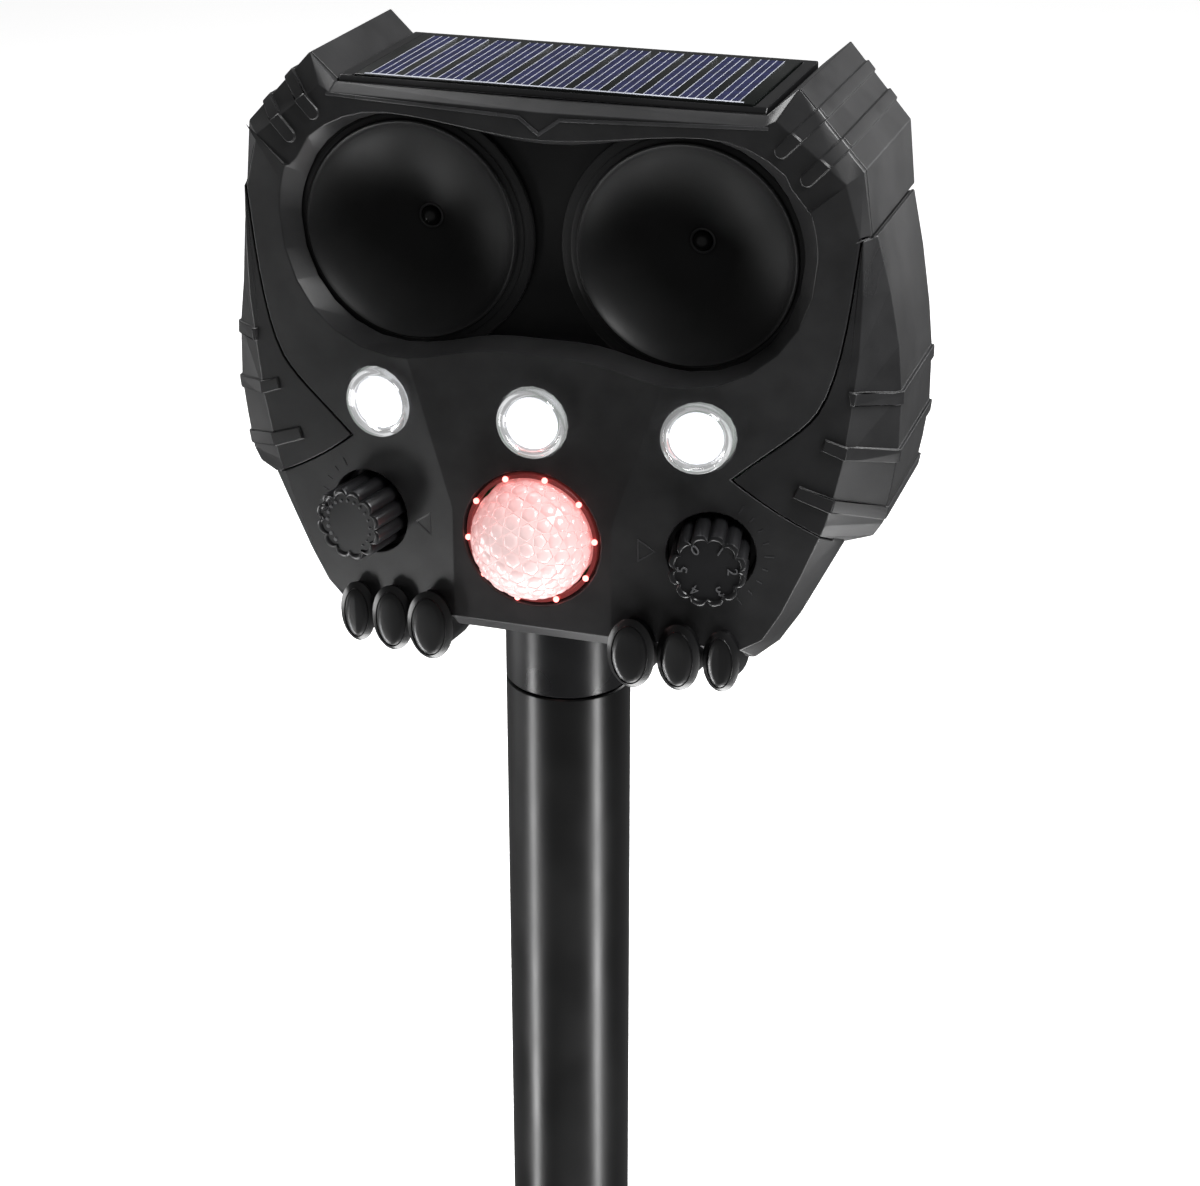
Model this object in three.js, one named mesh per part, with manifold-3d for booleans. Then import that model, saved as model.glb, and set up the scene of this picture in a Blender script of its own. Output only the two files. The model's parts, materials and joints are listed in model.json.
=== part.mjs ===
// An owl-faced ultrasonic pest repeller on a ground pole, in millimetres with +Z up.
// The origin is on the pole's axis at soil level. The head is drawn in its own frame,
// whose X and Z are zero at the middle light and whose Y is zero near the face.
import * as THREE from "three";
import { mergeVertices } from "three/addons/utils/BufferGeometryUtils.js";
import Module from "manifold-3d";

const wasm = await Module();
wasm.setup();

// Driving dimensions
const HEAD_HEIGHT = 228; // middle light above the soil
const POLE_SETBACK = 22; // pole axis behind the head frame's Y zero
const GAP = 0.3; // clearance between touching pieces
const WALL = 2.2; // moulded wall thickness
const SKIN = 2.0; // wing trim thickness
const PARTING = 11.8; // Y of the joint between front shell and rear shell
const BACK_Y = 46; // Y of the back wall at the middle light's height
const BACK_SLOPE = 0.12; // the back wall leans away by this much per mm of height
const CHEEK_Y = -4.4; // the cheek planes would meet here on the centre line
const CHEEK_SLOPE = 0.193; // how fast the cheeks fall back to the sides
const NOSE_Y = -1.1; // flat centre column of the face
const NOSE_LEAN = 0.062; // lean of the column's upper half
const NOSE_BEND_Z = -20; // where that lean starts
const BROW_Y = 5.4; // forehead at BROW_Z on the centre line
const BROW_Z = 55;
const BROW_SLOPE = 0.035;
const BROW_LEAN = 0.08;
const HORN_X = 28.9; // eye centres
const HORN_Z = 34.4;
const HORN_RIM_Y = 9.5;
const HORN_RADIUS = 22;
const HORN_FLANGE_RADIUS = 26;
const HORN_THROAT_Y = 21.4;
const TUNNEL_END = 9.9; // the goggle wall stops just in front of the horn flanges
const BAFFLE_Y = 12.1; // dark plate between the eyes
const LIGHT_X = 34.2; // outer lights
const MIDDLE_LIGHT_Y = 0.7;
const LIGHT_RADIUS = 7.2;
const LIGHT_PROUD = 4.2;
const DOME_Z = -24.8; // motion sensor
const DOME_RADIUS = 12.9;
const DOME_SIDES = 24;
const KNOB_X = 36.9;
const KNOB_Z = -24.8;
const KNOB_RADIUS = 7.9;
const KNOB_PROUD = 8.6;
const WELL_RADIUS = 9.1;
const WELL_DEPTH = 4.6;
const SHAFT_RADIUS = 2.9;
const POLE_RADIUS = 13.5;
const POLE_WALL = 1.3;
const COLLAR_BOTTOM = -65.5; // lower end of the neck collar in the head's frame
const PLUG_LENGTH = 16;
const SPIKE_LENGTH = 103;
const SOIL_FLANGE_RADIUS = 19;
const SOIL_FLANGE_HEIGHT = 3;
const BATTERY_RADIUS = 9.2;
const BATTERY_LENGTH = 65;
const BATTERY_Y = 30.8;
const BATTERY_HEIGHTS = [-29, -10.2];
const ROUND = 32; // sides of a large circle
const FINE = 20; // sides of a small circle
const FAR = 120; // beyond the head in any direction

const cheekTilt = Math.atan(CHEEK_SLOPE);

// Materials
function finish(color, roughness, metalness = 0, extra = {}) {
  return new THREE.MeshStandardMaterial({ color, roughness, metalness, ...extra });
}

const shellFinish = finish("#2b2b2d", 0.5);
const trimFinish = finish("#242426", 0.5);
const glossFinish = finish("#151517", 0.18);
const hornFinish = finish("#161617", 0.3);
const baffleFinish = finish("#0f0f10", 0.45);
const knobFinish = finish("#17171a", 0.28);
const tubeFinish = finish("#0c0c0e", 0.22, 0.3);
const collarFinish = finish("#1b1b1d", 0.42);
const rubberFinish = finish("#1a1a1a", 0.75);
const cellFinish = finish("#23285c", 0.22, 0.2);
const clearFinish = finish("#f4f7fa", 0.06, 0, { transparent: true, opacity: 0.4 });
const domeFinish = finish("#f6d5d5", 0.3, 0, { transparent: true, opacity: 0.75 });
const redFinish = finish("#e01818", 0.3, 0, { emissive: "#ff2020", emissiveIntensity: 1 });
const lampFinish = finish("#ffffff", 0.3, 0, { emissive: "#ffffff", emissiveIntensity: 1 });
const steelFinish = finish("#9a9a9c", 0.35, 1);
const boardFinish = finish("#1d5a34", 0.5);
const whiteFinish = finish("#e8e8e6", 0.4);
const batteryFinish = finish("#3f7f4a", 0.35);

// Solids
function solid(geometry) {
  const bare = geometry.clone();
  bare.deleteAttribute("normal");
  bare.deleteAttribute("uv");
  const merged = mergeVertices(bare, 1e-4);
  const vertProperties = new Float32Array(merged.attributes.position.array);
  const triVerts = new Uint32Array(merged.index.array);
  if (signedVolume(vertProperties, triVerts) < 0) {
    for (let i = 0; i < triVerts.length; i += 3) {
      [triVerts[i + 1], triVerts[i + 2]] = [triVerts[i + 2], triVerts[i + 1]];
    }
  }
  const piece = new wasm.Mesh({ numProp: 3, vertProperties, triVerts });
  return new wasm.Manifold(piece);
}

function signedVolume(positions, triangles) {
  const corner = (i) => new THREE.Vector3().fromArray(positions, triangles[i] * 3);
  let total = 0;
  for (let i = 0; i < triangles.length; i += 3) {
    total += corner(i).dot(corner(i + 1).cross(corner(i + 2)));
  }
  return total;
}

function geometryOf(piece) {
  const made = piece.getMesh();
  const geometry = new THREE.BufferGeometry();
  const positions = new THREE.BufferAttribute(new Float32Array(made.vertProperties), 3);
  geometry.setAttribute("position", positions);
  geometry.setIndex(Array.from(made.triVerts));
  geometry.computeVertexNormals();
  return geometry;
}

function unite(first, ...others) {
  return others.reduce((sum, other) => sum.add(other), first);
}

function cut(first, ...others) {
  return others.reduce((rest, other) => rest.subtract(other), first);
}

function common(first, ...others) {
  return others.reduce((rest, other) => rest.intersect(other), first);
}

// Outlines are lists of [x, z] running anticlockwise as seen from the front.
function wholeOutline(rightHalf) {
  const right = [...rightHalf].reverse();
  const left = rightHalf.filter(([x]) => x > 0).map(([x, ...rest]) => [-x, ...rest]);
  return [...right, ...left];
}

function inset(outline, distance) {
  const count = outline.length;
  return outline.map((point, i) => {
    const before = outline[(i + count - 1) % count];
    const after = outline[(i + 1) % count];
    const inA = inward(before, point);
    const inB = inward(point, after);
    const reach = distance / (1 + inA[0] * inB[0] + inA[1] * inB[1]);
    return [point[0] + (inA[0] + inB[0]) * reach, point[1] + (inA[1] + inB[1]) * reach];
  });
}

function inward([x0, z0], [x1, z1]) {
  const length = Math.hypot(x1 - x0, z1 - z0);
  return [-(z1 - z0) / length, (x1 - x0) / length];
}

function atY(outline, y) {
  return outline.map(([x, z]) => [x, y, z]);
}

// A closed body through rings of [x, y, z] points, from the front ring to the back one.
function loft(rings) {
  const count = rings[0].length;
  const index = [];
  for (let ring = 0; ring + 1 < rings.length; ring += 1) {
    for (let i = 0; i < count; i += 1) {
      const a = ring * count + i;
      const b = ring * count + ((i + 1) % count);
      index.push(a, b, b + count, a, b + count, a + count);
    }
  }
  const last = (rings.length - 1) * count;
  const flat = rings[0].map(([x, , z]) => new THREE.Vector2(x, z));
  for (const [a, b, c] of THREE.ShapeUtils.triangulateShape(flat, [])) {
    index.push(a, c, b, last + a, last + b, last + c);
  }
  const geometry = new THREE.BufferGeometry();
  geometry.setAttribute("position", new THREE.Float32BufferAttribute(rings.flat(2), 3));
  geometry.setIndex(index);
  return solid(geometry);
}

function prism(outline, y0, y1) {
  return loft([atY(outline, y0), atY(outline, y1)]);
}

function box(x0, x1, y0, y1, z0, z1) {
  const geometry = new THREE.BoxGeometry(x1 - x0, y1 - y0, z1 - z0);
  geometry.translate((x0 + x1) / 2, (y0 + y1) / 2, (z0 + z1) / 2);
  return solid(geometry);
}

// Everything behind the plane y = front(x, z), between two heights.
function behind(front, z0 = -FAR, z1 = FAR) {
  const corners = [[-FAR, z0], [FAR, z0], [FAR, z1], [-FAR, z1]];
  return loft([corners.map(([x, z]) => [x, front(x, z), z]), atY(corners, FAR)]);
}

// A turned body: the profile is a list of [radius, y], and the axis runs along Y.
function turned(profile, segments = ROUND, x = 0, z = 0) {
  const points = profile.map(([radius, y]) => new THREE.Vector2(radius, y));
  const geometry = new THREE.LatheGeometry(points, segments);
  geometry.translate(x, 0, z);
  return solid(geometry);
}

function rod(radius, y0, y1, x = 0, z = 0, segments = FINE) {
  return turned([[0, y0], [radius, y0], [radius, y1], [0, y1]], segments, x, z);
}

// The same, with the axis along Z.
function turnedUp(profile, segments = ROUND) {
  const points = profile.map(([radius, z]) => new THREE.Vector2(radius, z));
  const geometry = new THREE.LatheGeometry(points, segments);
  geometry.rotateX(Math.PI / 2);
  return solid(geometry);
}

function moved(piece, matrix) {
  return solid(geometryOf(piece).applyMatrix4(matrix));
}

// The frame of something that stands square on a cheek at (x, z).
function onCheek(x, z) {
  const side = Math.sign(x);
  const place = new THREE.Matrix4().makeTranslation(x, CHEEK_Y + CHEEK_SLOPE * Math.abs(x), z);
  return place.multiply(new THREE.Matrix4().makeRotationZ(side * cheekTilt));
}

function mirrored(piece) {
  return piece.mirror([1, 0, 0]);
}

// The face: a flat centre column, two cheeks that fall back, and an upright forehead.
function faceSolid(depth) {
  const cheek = (side) => behind((x) => CHEEK_Y + CHEEK_SLOPE * side * x + depth);
  const column = behind(() => NOSE_Y + depth);
  const leaning = behind((x, z) => NOSE_Y + NOSE_LEAN * (z - NOSE_BEND_Z) + depth);
  const brow = (side) =>
    behind((x, z) => BROW_Y + BROW_SLOPE * side * x + BROW_LEAN * (z - BROW_Z) + depth);
  const aboveFold = prism(
    [[-FAR, FAR], [-FAR, 52.3], [-60.6, 52.1], [-54.4, 46.8], [54.4, 46.8], [60.6, 52.1],
      [FAR, 52.3], [FAR, FAR]],
    -FAR,
    2 * FAR,
  );
  const lower = common(cheek(1), cheek(-1), column, leaning).subtract(aboveFold);
  return lower.add(common(brow(1), brow(-1), aboveFold));
}

// Half outlines of the core, from the top of the centre line down the right side.
// Each point is [x, z] on the face and [x, z, y] where the bevel has run out.
const coreHalf = [
  [[0, 61.6], [0, 63.2, 10.4]],
  [[44.4, 61.9], [44.2, 63.5, 10.4]],
  [[46.6, 63.1], [50, 68.7, 11.4]],
  [[60.6, 52.1], [63.4, 54.2, 10.2]],
  [[63.6, 41.4], [65.1, 41.4, 11.2]],
  [[63.9, 41.2], [63.6, 41.0, 11.2]],
  [[62.9, 31.2], [62.9, 31, 11.2]],
  [[61.5, 21.3], [62.4, 21, 11.2]],
  [[60, 12], [62.3, 11.8, 11.2]],
  [[58.2, -19.6], [61.9, -22.2, 11.4]],
  [[54.6, -28.8], [58.4, -29.8, 11]],
  [[50.9, -37.4], [54, -38.6, 10.2]],
  [[47.4, -43.3], [50, -44.9, 9.2]],
  [[43.1, -45.8], [45.2, -48.9, 8]],
  [[17, -44.4], [16.4, -47.6, 2]],
  [[0, -44.4], [0, -47.6, 2]],
];

// The same for the wings, from their top edge down.
const wingHalf = [
  [[64.2, 41.3], [65.9, 41.3, 13]],
  [[64.6, 30], [68.3, 30, 15.5]],
  [[64.4, 18], [70.2, 18, 17.5]],
  [[63.5, 8.5], [71.2, 8.5, 17]],
  [[62.1, -3.7], [71.3, -3.7, 16.3]],
  [[60.5, -11.3], [70.3, -11.3, 16]],
  [[59, -17.4], [68.9, -19, 15.5]],
  [[58.5, -18.8], [67.2, -21.7, 15]],
  [[58.1, -19.9], [62.2, -22.3, 11.8]],
];

function bevelledBody(outer, inner, runOut, back) {
  const front = atY(inner, -FAR);
  const start = inner.map(([x, z]) => [x, faceYAt(x, z) - 0.01, z]);
  const end = outer.map(([x, z], i) => [x, runOut[i], z]);
  return loft([front, start, end, atY(outer, back)]);
}

function faceYAt(x, z) {
  const cheek = CHEEK_Y + CHEEK_SLOPE * Math.abs(x);
  const brow = BROW_Y + BROW_SLOPE * Math.abs(x) + BROW_LEAN * (z - BROW_Z);
  return z > 51 ? brow : Math.max(cheek, NOSE_Y);
}

function coreBody(shrink, back) {
  const inner = inset(wholeOutline(coreHalf.map(([face]) => face)), shrink);
  const rim = wholeOutline(coreHalf.map(([, edge]) => edge));
  const outer = inset(rim.map(([x, z]) => [x, z]), shrink);
  return bevelledBody(outer, inner, rim.map(([, , y]) => y), back);
}

// The right wing's closed outline: the bevelled edge, then a straight run inside the head.
function wingBody(grow, back) {
  const closing = [[20, -19.9], [20, 41.3]];
  const faces = [...wingHalf.map(([face]) => face), ...closing].reverse();
  const edges = [...wingHalf.map(([, edge]) => edge), [20, -22.3, 11.8], [20, 41.3, 13]].reverse();
  const outer = inset(edges.map(([x, z]) => [x, z]), -grow);
  return bevelledBody(outer, inset(faces, -grow), edges.map(([, , y]) => y), back);
}

// The wing's front plate reaches inwards to this seam.
function wingSeam(grow) {
  const seam = new THREE.Shape();
  seam.moveTo(FAR, 41.3 + grow);
  seam.lineTo(64 - grow, 41.3 + grow);
  seam.bezierCurveTo(62.6 - grow, 28, 61.2 - grow, 13, 57 - grow, 6 + grow);
  seam.bezierCurveTo(54.4 - grow, 1.6 + grow, 46.5, -3.4 + grow, 41 - 2 * grow, -8.6);
  seam.quadraticCurveTo(48.5, -15 - grow, 58.1, -19.7 - grow);
  seam.lineTo(62.2, -22.3 - grow);
  seam.lineTo(FAR, -22.3 - grow);
  const points = seam.getPoints(7).map(({ x, y }) => [x, y]);
  return prism(points, -FAR, FAR);
}

// The goggle-shaped opening around both eyes: its mouth on the face, and its narrower floor.
function goggleHalf(start, curves) {
  const edge = new THREE.Shape();
  edge.moveTo(...start);
  for (const curve of curves) {
    edge.bezierCurveTo(...curve);
  }
  edge.lineTo(0, edge.currentPoint.y);
  return edge.getPoints(6).map(({ x, y }) => [x, y]);
}

const goggleMouth = goggleHalf([0, 56.3], [
  [12, 56.3, 22, 58.9, 33, 58.9],
  [43, 58.9, 50.5, 53.6, 54.4, 46.8],
  [55.6, 43.8, 56.2, 40.5, 56.2, 37],
  [56.2, 21.5, 45.5, 10.3, 31, 10.3],
  [21.5, 10.3, 16, 13.7, 7, 13.7],
]);
const goggleFloor = goggleHalf([0, 54.4], [
  [11, 54.4, 20, 58.1, 31, 58.1],
  [39.5, 58.1, 47.6, 52.4, 50.6, 44.4],
  [51.8, 41.6, 52.5, 38.6, 52.5, 35.5],
  [52.5, 22, 42.5, 11, 30, 11],
  [21, 11, 15, 14.6, 7, 14.6],
]);

function goggleTunnel(grow) {
  const mouth = inset(wholeOutline(goggleMouth), -grow);
  const floor = inset(wholeOutline(goggleFloor), -grow);
  return loft([
    atY(mouth, -FAR / 4),
    mouth.map(([x, z]) => [x, faceYAt(x, z) - 0.3, z]),
    atY(floor, TUNNEL_END),
    atY(floor, FAR / 4),
  ]);
}

// Raised bars that wrap over the shoulders and the wings
const shoulderBars = [[48, 57.6, 54.9, 64.6], [53.2, 52.6, 59.8, 59.4]];
const wingBars = [
  [[63.2, 8.3], [70.9, 6.2], [90, 6.2], [90, 9], [70.3, 9], [62.7, 11.1]],
  [[58, -1.4], [62.2, -3.2], [70.8, -5.8], [90, -5.8], [90, -3], [71, -3], [62.8, -0.6],
    [58.6, 0.9]],
  [[52.8, -11.6], [59.3, -14.3], [69, -18], [90, -18], [90, -15.2], [69.6, -15.2],
    [59.9, -11.4], [53.8, -9.2]],
];
const BAR_PROUD = 0.55;
const BAR_WIDTH = 2.6;

function shoulderBar([x0, z0, x1, z1]) {
  const length = Math.hypot(x1 - x0, z1 - z0);
  const across = [(-(z1 - z0) / length) * (BAR_WIDTH / 2), ((x1 - x0) / length) * (BAR_WIDTH / 2)];
  const along = [((x1 - x0) / length) * FAR, ((z1 - z0) / length) * FAR];
  const end = new THREE.Shape();
  const turn = Math.atan2(across[1], across[0]);
  end.absarc(x0, z0, BAR_WIDTH / 2, turn, turn + Math.PI, false);
  const round = end.getPoints(4).map(({ x, y }) => [x, y]);
  const [xa, za] = [x0 - across[0] + along[0], z0 - across[1] + along[1]];
  const [xb, zb] = [x0 + across[0] + along[0], z0 + across[1] + along[1]];
  return prism([...round, [xa, za], [xb, zb]], -FAR / 4, FAR / 2);
}

// Screws from the back: the case's four corners and the battery door
const CASE_SCREWS = [[-57.2, 49], [57.2, 49], [-52.2, -30], [52.2, -30]];
const SCREW_SINK = 10;
const DOOR = { x: 36.6, low: -43.8, high: 5, thick: 1.7 };
const DOOR_HOLE = { x: 34, low: -39.4, high: 0.2 };
const DOOR_SCREW_HEIGHTS = [DOOR_HOLE.high + 2.4, DOOR_HOLE.low - 2.2];
const BUTTON_PLACE = [-17, 24];
const BUTTON_RADIUS = 5.5;
const USB_PLACE = [17, 24];
const FLAP = { x: 8, low: -5, hinge: 5.8, thick: 1.6 };
const NECK_STUB_RADIUS = 8;
const NECK_SEAT_Z = -47.6; // underside of the head
const SHELF_Z = 60.9;
const PANEL = { x: 40.9, front: 12.2, back: 49.9, low: 62.7, high: 64.9 };
const FRAME = { x: 43.9, front: 10.9, back: 52.4, high: 64.6 };

function backY(z) {
  return BACK_Y + BACK_SLOPE * z;
}

// Everything in front of the leaning back wall, or of a plane at a depth inside it
function beforeBack(depth) {
  const corners = [[-FAR, -FAR], [FAR, -FAR], [FAR, FAR], [-FAR, FAR]];
  return loft([atY(corners, -FAR), corners.map(([x, z]) => [x, backY(z) - depth, z])]);
}

// The frame of something square on the back wall: its +Y points straight out of the wall.
function onBack([x, z]) {
  const place = new THREE.Matrix4().makeTranslation(x, backY(z), z);
  return place.multiply(new THREE.Matrix4().makeRotationX(-Math.atan(BACK_SLOPE)));
}

// Half outline of the rear shell, from the panel shelf down the right side
const rearHalf = [
  [0, SHELF_Z],
  [44.2, SHELF_Z],
  ...coreHalf.slice(1).map(([, [x, z]]) => [x, z]),
];

const head = new THREE.Group();
head.position.set(0, -POLE_SETBACK, HEAD_HEIGHT);
const repeller = new THREE.Group();
repeller.add(head);

function add(name, piece, material, group = head) {
  const mesh = new THREE.Mesh(geometryOf(piece), material);
  mesh.name = name;
  group.add(mesh);
}

function addPair(name, rightPiece, material) {
  add(`right_${name}`, rightPiece, material);
  add(`left_${name}`, mirrored(rightPiece), material);
}

// The front shell, with the goggle tunnel, the light and sensor holes and the knob wells
function frontShell() {
  const wing = wingSeam(GAP);
  const underWing = cut(wing, faceSolid(SKIN + GAP));
  const ledge = cut(wing, faceSolid(SKIN + GAP + WALL));
  const hollow = cut(common(coreBody(WALL, FAR), faceSolid(WALL)), ledge, mirrored(ledge));
  let shell = cut(common(coreBody(0, PARTING), faceSolid(0)), hollow);
  for (const place of shoulderBars) {
    const bar = shoulderBar(place);
    const grown = common(coreBody(-BAR_PROUD, PARTING), faceSolid(-BAR_PROUD), bar);
    const raised = cut(grown, hollow);
    shell = unite(shell, raised, mirrored(raised));
  }
  const tunnelWall = common(goggleTunnel(1.8), faceSolid(0.2), coreBody(0.1, FAR));
  shell = unite(shell, cut(tunnelWall, behind(() => TUNNEL_END)));
  shell = cut(shell, goggleTunnel(0), underWing, mirrored(underWing));
  shell = cut(shell, box(-FRAME.x - GAP, FRAME.x + GAP, FRAME.front - GAP, FAR, 61, FAR));
  const post = rod(3.6, -FAR, PARTING);
  for (const [x, z] of CASE_SCREWS) {
    const inside = common(post.translate([x, 0, z]), coreBody(0.4, FAR), faceSolid(0.8));
    shell = cut(shell.add(cut(inside, ledge, mirrored(ledge))), pilotHole(x, z));
  }
  const lightHole = rod(LIGHT_RADIUS + GAP, -20, 20);
  shell = cut(shell, lightHole, domeSeat());
  for (const side of [-1, 1]) {
    const knobPlace = onCheek(side * KNOB_X, KNOB_Z);
    const cup = rod(WELL_RADIUS + 1.6, 0.5, WELL_DEPTH + 1.6);
    const bore = rod(WELL_RADIUS, -20, WELL_DEPTH, 0, 0, ROUND);
    const shaftHole = rod(SHAFT_RADIUS + 3 * GAP, -20, 20);
    shell = shell.add(moved(cup, knobPlace));
    shell = cut(shell, moved(bore, knobPlace), moved(shaftHole, knobPlace));
    shell = cut(shell, moved(lightHole, onCheek(side * LIGHT_X, 0)));
  }
  return shell;
}

function pilotHole(x, z) {
  return rod(1.75, PARTING - 3.4, FAR, x, z, 16);
}

// The round seat of the sensor's dome, chamfered at its mouth
function domeSeat() {
  const mouth = DOME_RADIUS + 2;
  const waist = DOME_RADIUS + 1.3;
  const profile = [[0, -20], [mouth, -20], [mouth, NOSE_Y], [waist, 0.2], [waist, 20], [0, 20]];
  return turned(profile, ROUND, 0, DOME_Z);
}

// The rear shell: side walls, ears, the solar panel's shelf, the leaning back and its openings
function rearShell() {
  const rim = wholeOutline(rearHalf);
  const front = PARTING + GAP;
  const bodyBox = common(prism(rim, front, FAR), beforeBack(0));
  const hollow = common(prism(inset(rim, WALL), -FAR, FAR), beforeBack(WALL));
  let shell = cut(bodyBox, hollow);
  for (const place of shoulderBars) {
    const grown = common(prism(inset(rim, -BAR_PROUD), front, FAR), beforeBack(0));
    const raised = cut(common(grown, shoulderBar(place)), hollow);
    shell = unite(shell, raised, mirrored(raised));
  }
  for (const [x, z] of CASE_SCREWS) {
    const boss = common(rod(4.4, front, FAR, x, z), bodyBox, beforeBack(0.1));
    const sink = rod(3.5, backY(z) - SCREW_SINK, FAR, x, z);
    shell = cut(shell.add(boss), rod(1.75, -FAR, FAR, x, z, 16), sink);
  }
  const doorFrame = box(-DOOR.x - 2, DOOR.x + 2, 0, FAR, DOOR.low - 1.4, DOOR.high + 2);
  shell = shell.add(common(doorFrame, beforeBack(0.1), behind((x, z) => backY(z) - 4.6)));
  const rebate = box(-DOOR.x - GAP, DOOR.x + GAP, 0, FAR, DOOR.low - GAP, DOOR.high + GAP);
  shell = cut(shell, cut(rebate, beforeBack(DOOR.thick + GAP)));
  shell = cut(shell, box(-DOOR_HOLE.x, DOOR_HOLE.x, 30, FAR, DOOR_HOLE.low, DOOR_HOLE.high));
  for (const z of DOOR_SCREW_HEIGHTS) {
    shell = cut(shell, rod(1.3, 30, FAR, 0, z, 16));
  }
  shell = cut(shell, moved(rod(BUTTON_RADIUS + GAP, -8, 8), onBack(BUTTON_PLACE)));
  const port = solid(new THREE.BoxGeometry(12, 16, 7));
  shell = cut(shell, moved(port, onBack(USB_PLACE)));
  const neckHole = turnedUp([[0, -60], [NECK_STUB_RADIUS + GAP, -60],
    [NECK_STUB_RADIUS + GAP, -40], [0, -40]]);
  return cut(shell, neckHole.translate([0, POLE_SETBACK, 0]));
}

// A wing: a plate flush with the face, a broad bevel and a side skin, with three raised bars
function wing() {
  const back = BACK_Y + 1;
  const room = box(0, FAR, 0, FAR, -18.8, 41.3 - SKIN);
  const shrunk = wingBody(0, back - SKIN).translate([-SKIN, 0, 0]);
  const inside = common(shrunk, faceSolid(SKIN), room);
  const core = common(coreBody(-GAP, FAR), faceSolid(SKIN));
  let skin = common(wingBody(0, back), faceSolid(0), wingSeam(0));
  for (const outline of wingBars) {
    const bar = prism(outline, -FAR, FAR);
    skin = skin.add(common(wingBody(BAR_PROUD, back), faceSolid(-BAR_PROUD), bar));
  }
  return cut(skin, inside, core);
}

function panelFrame() {
  const outer = box(-FRAME.x, FRAME.x, FRAME.front, FRAME.back, SHELF_Z + GAP, FRAME.high);
  const pocket = box(-PANEL.x - GAP, PANEL.x + GAP, PANEL.front - GAP, PANEL.back + GAP,
    PANEL.low - GAP, FAR);
  const bevel = behind((x, z) => FRAME.front + (z - FRAME.high + 1));
  return common(cut(outer, pocket), bevel);
}

function solarPanel() {
  return box(-PANEL.x, PANEL.x, PANEL.front, PANEL.back, PANEL.low, PANEL.high);
}

// A horn: a stepped flange, flat along its top, and a bowl that narrows to the throat
function horn() {
  const step = HORN_RADIUS + 2;
  const bowl = [[2.3, HORN_THROAT_Y], [6, 19.7], [12, 16.9], [18, 13.2]];
  const backOfBowl = [[19, 15.2], [12.8, 19.1], [6.6, 21.8], [4, 24.4]];
  const profile = [
    [0, HORN_THROAT_Y + 1.6],
    [2.3, HORN_THROAT_Y + 1.6],
    ...bowl,
    [HORN_RADIUS, HORN_RIM_Y],
    [HORN_RADIUS + 0.7, HORN_RIM_Y],
    [HORN_RADIUS + 0.7, HORN_RIM_Y + 0.7],
    [step, HORN_RIM_Y + 0.7],
    [step, HORN_RIM_Y + 1.1],
    [HORN_FLANGE_RADIUS, HORN_RIM_Y + 1.1],
    [HORN_FLANGE_RADIUS, HORN_RIM_Y + 2.3],
    [step, HORN_RIM_Y + 2.3],
    ...backOfBowl,
    [0, 24.4],
  ];
  const flat = box(-FAR, FAR, -FAR, FAR, 59, FAR);
  return cut(turned(profile, ROUND, HORN_X, HORN_Z), flat);
}

function hornDome() {
  const radius = 1.9;
  const arc = [0, 30, 60, 90].map((degrees) => {
    const turn = THREE.MathUtils.degToRad(degrees);
    return [radius * Math.sin(turn), HORN_THROAT_Y - radius * Math.cos(turn)];
  });
  return turned([...arc, [radius, 22.6], [0, 22.6]], 12, HORN_X, HORN_Z);
}

function hornDriver() {
  return turned(
    [[0, 24.7], [14, 24.7], [14, 28], [11, 28], [11, 31], [0, 31]],
    FINE,
    HORN_X,
    HORN_Z,
  );
}

function hornBaffle() {
  const plate = box(-20, 20, BAFFLE_Y, BAFFLE_Y + 1.6, 10.4, 58.3);
  const hole = rod(HORN_RADIUS + 2.4, 0, 30, HORN_X, HORN_Z, ROUND);
  return cut(plate, hole, mirrored(hole));
}

// A clear light cap in its own frame: -Y points out of the face, and Y is zero on the face.
function lightLens() {
  const r = LIGHT_RADIUS;
  const top = -LIGHT_PROUD;
  return turned([
    [0, top], [r * 0.72, top + 0.4], [r, top + 2], [r, 2.5], [r + 1.3, 2.5], [r + 1.3, 3.7],
    [r - 1.2, 3.7], [r - 1.2, top + 2.2], [r * 0.6, top + 1.4], [0, top + 1.2],
  ], FINE);
}

function lightReflector() {
  return turned([[3, 5.6], [5.2, -1], [5.7, -1], [5.7, 3.4], [3.9, 5.6], [3, 5.6]], FINE);
}

function lightEmitter() {
  return turned([[0, 0.6], [1.8, 1.2], [2.5, 3], [2.5, 9], [0, 9]], 12);
}

function placeLight(name, place) {
  add(`${name}_lens`, moved(lightLens(), place), clearFinish);
  add(`${name}_reflector`, moved(lightReflector(), place), steelFinish);
  add(`${name}_emitter`, moved(lightEmitter(), place), lampFinish);
}

// The sensor's faceted dome, with a flange that holds it behind the face
function sensorDome() {
  const rings = 5;
  const shell = (radius) => Array.from({ length: rings + 1 }, (_, i) => {
    const turn = (i / rings) * (Math.PI / 2);
    return [radius * Math.sin(turn), -radius * Math.cos(turn)];
  });
  const flange = DOME_RADIUS + 2.6;
  const outer = [...shell(DOME_RADIUS), [DOME_RADIUS, 3.2], [flange, 3.2], [flange, 4.4]];
  const inner = [[DOME_RADIUS - 0.9, 4.4], ...shell(DOME_RADIUS - 0.9).reverse()];
  return turned([...outer, ...inner], DOME_SIDES, 0, DOME_Z);
}

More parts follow.
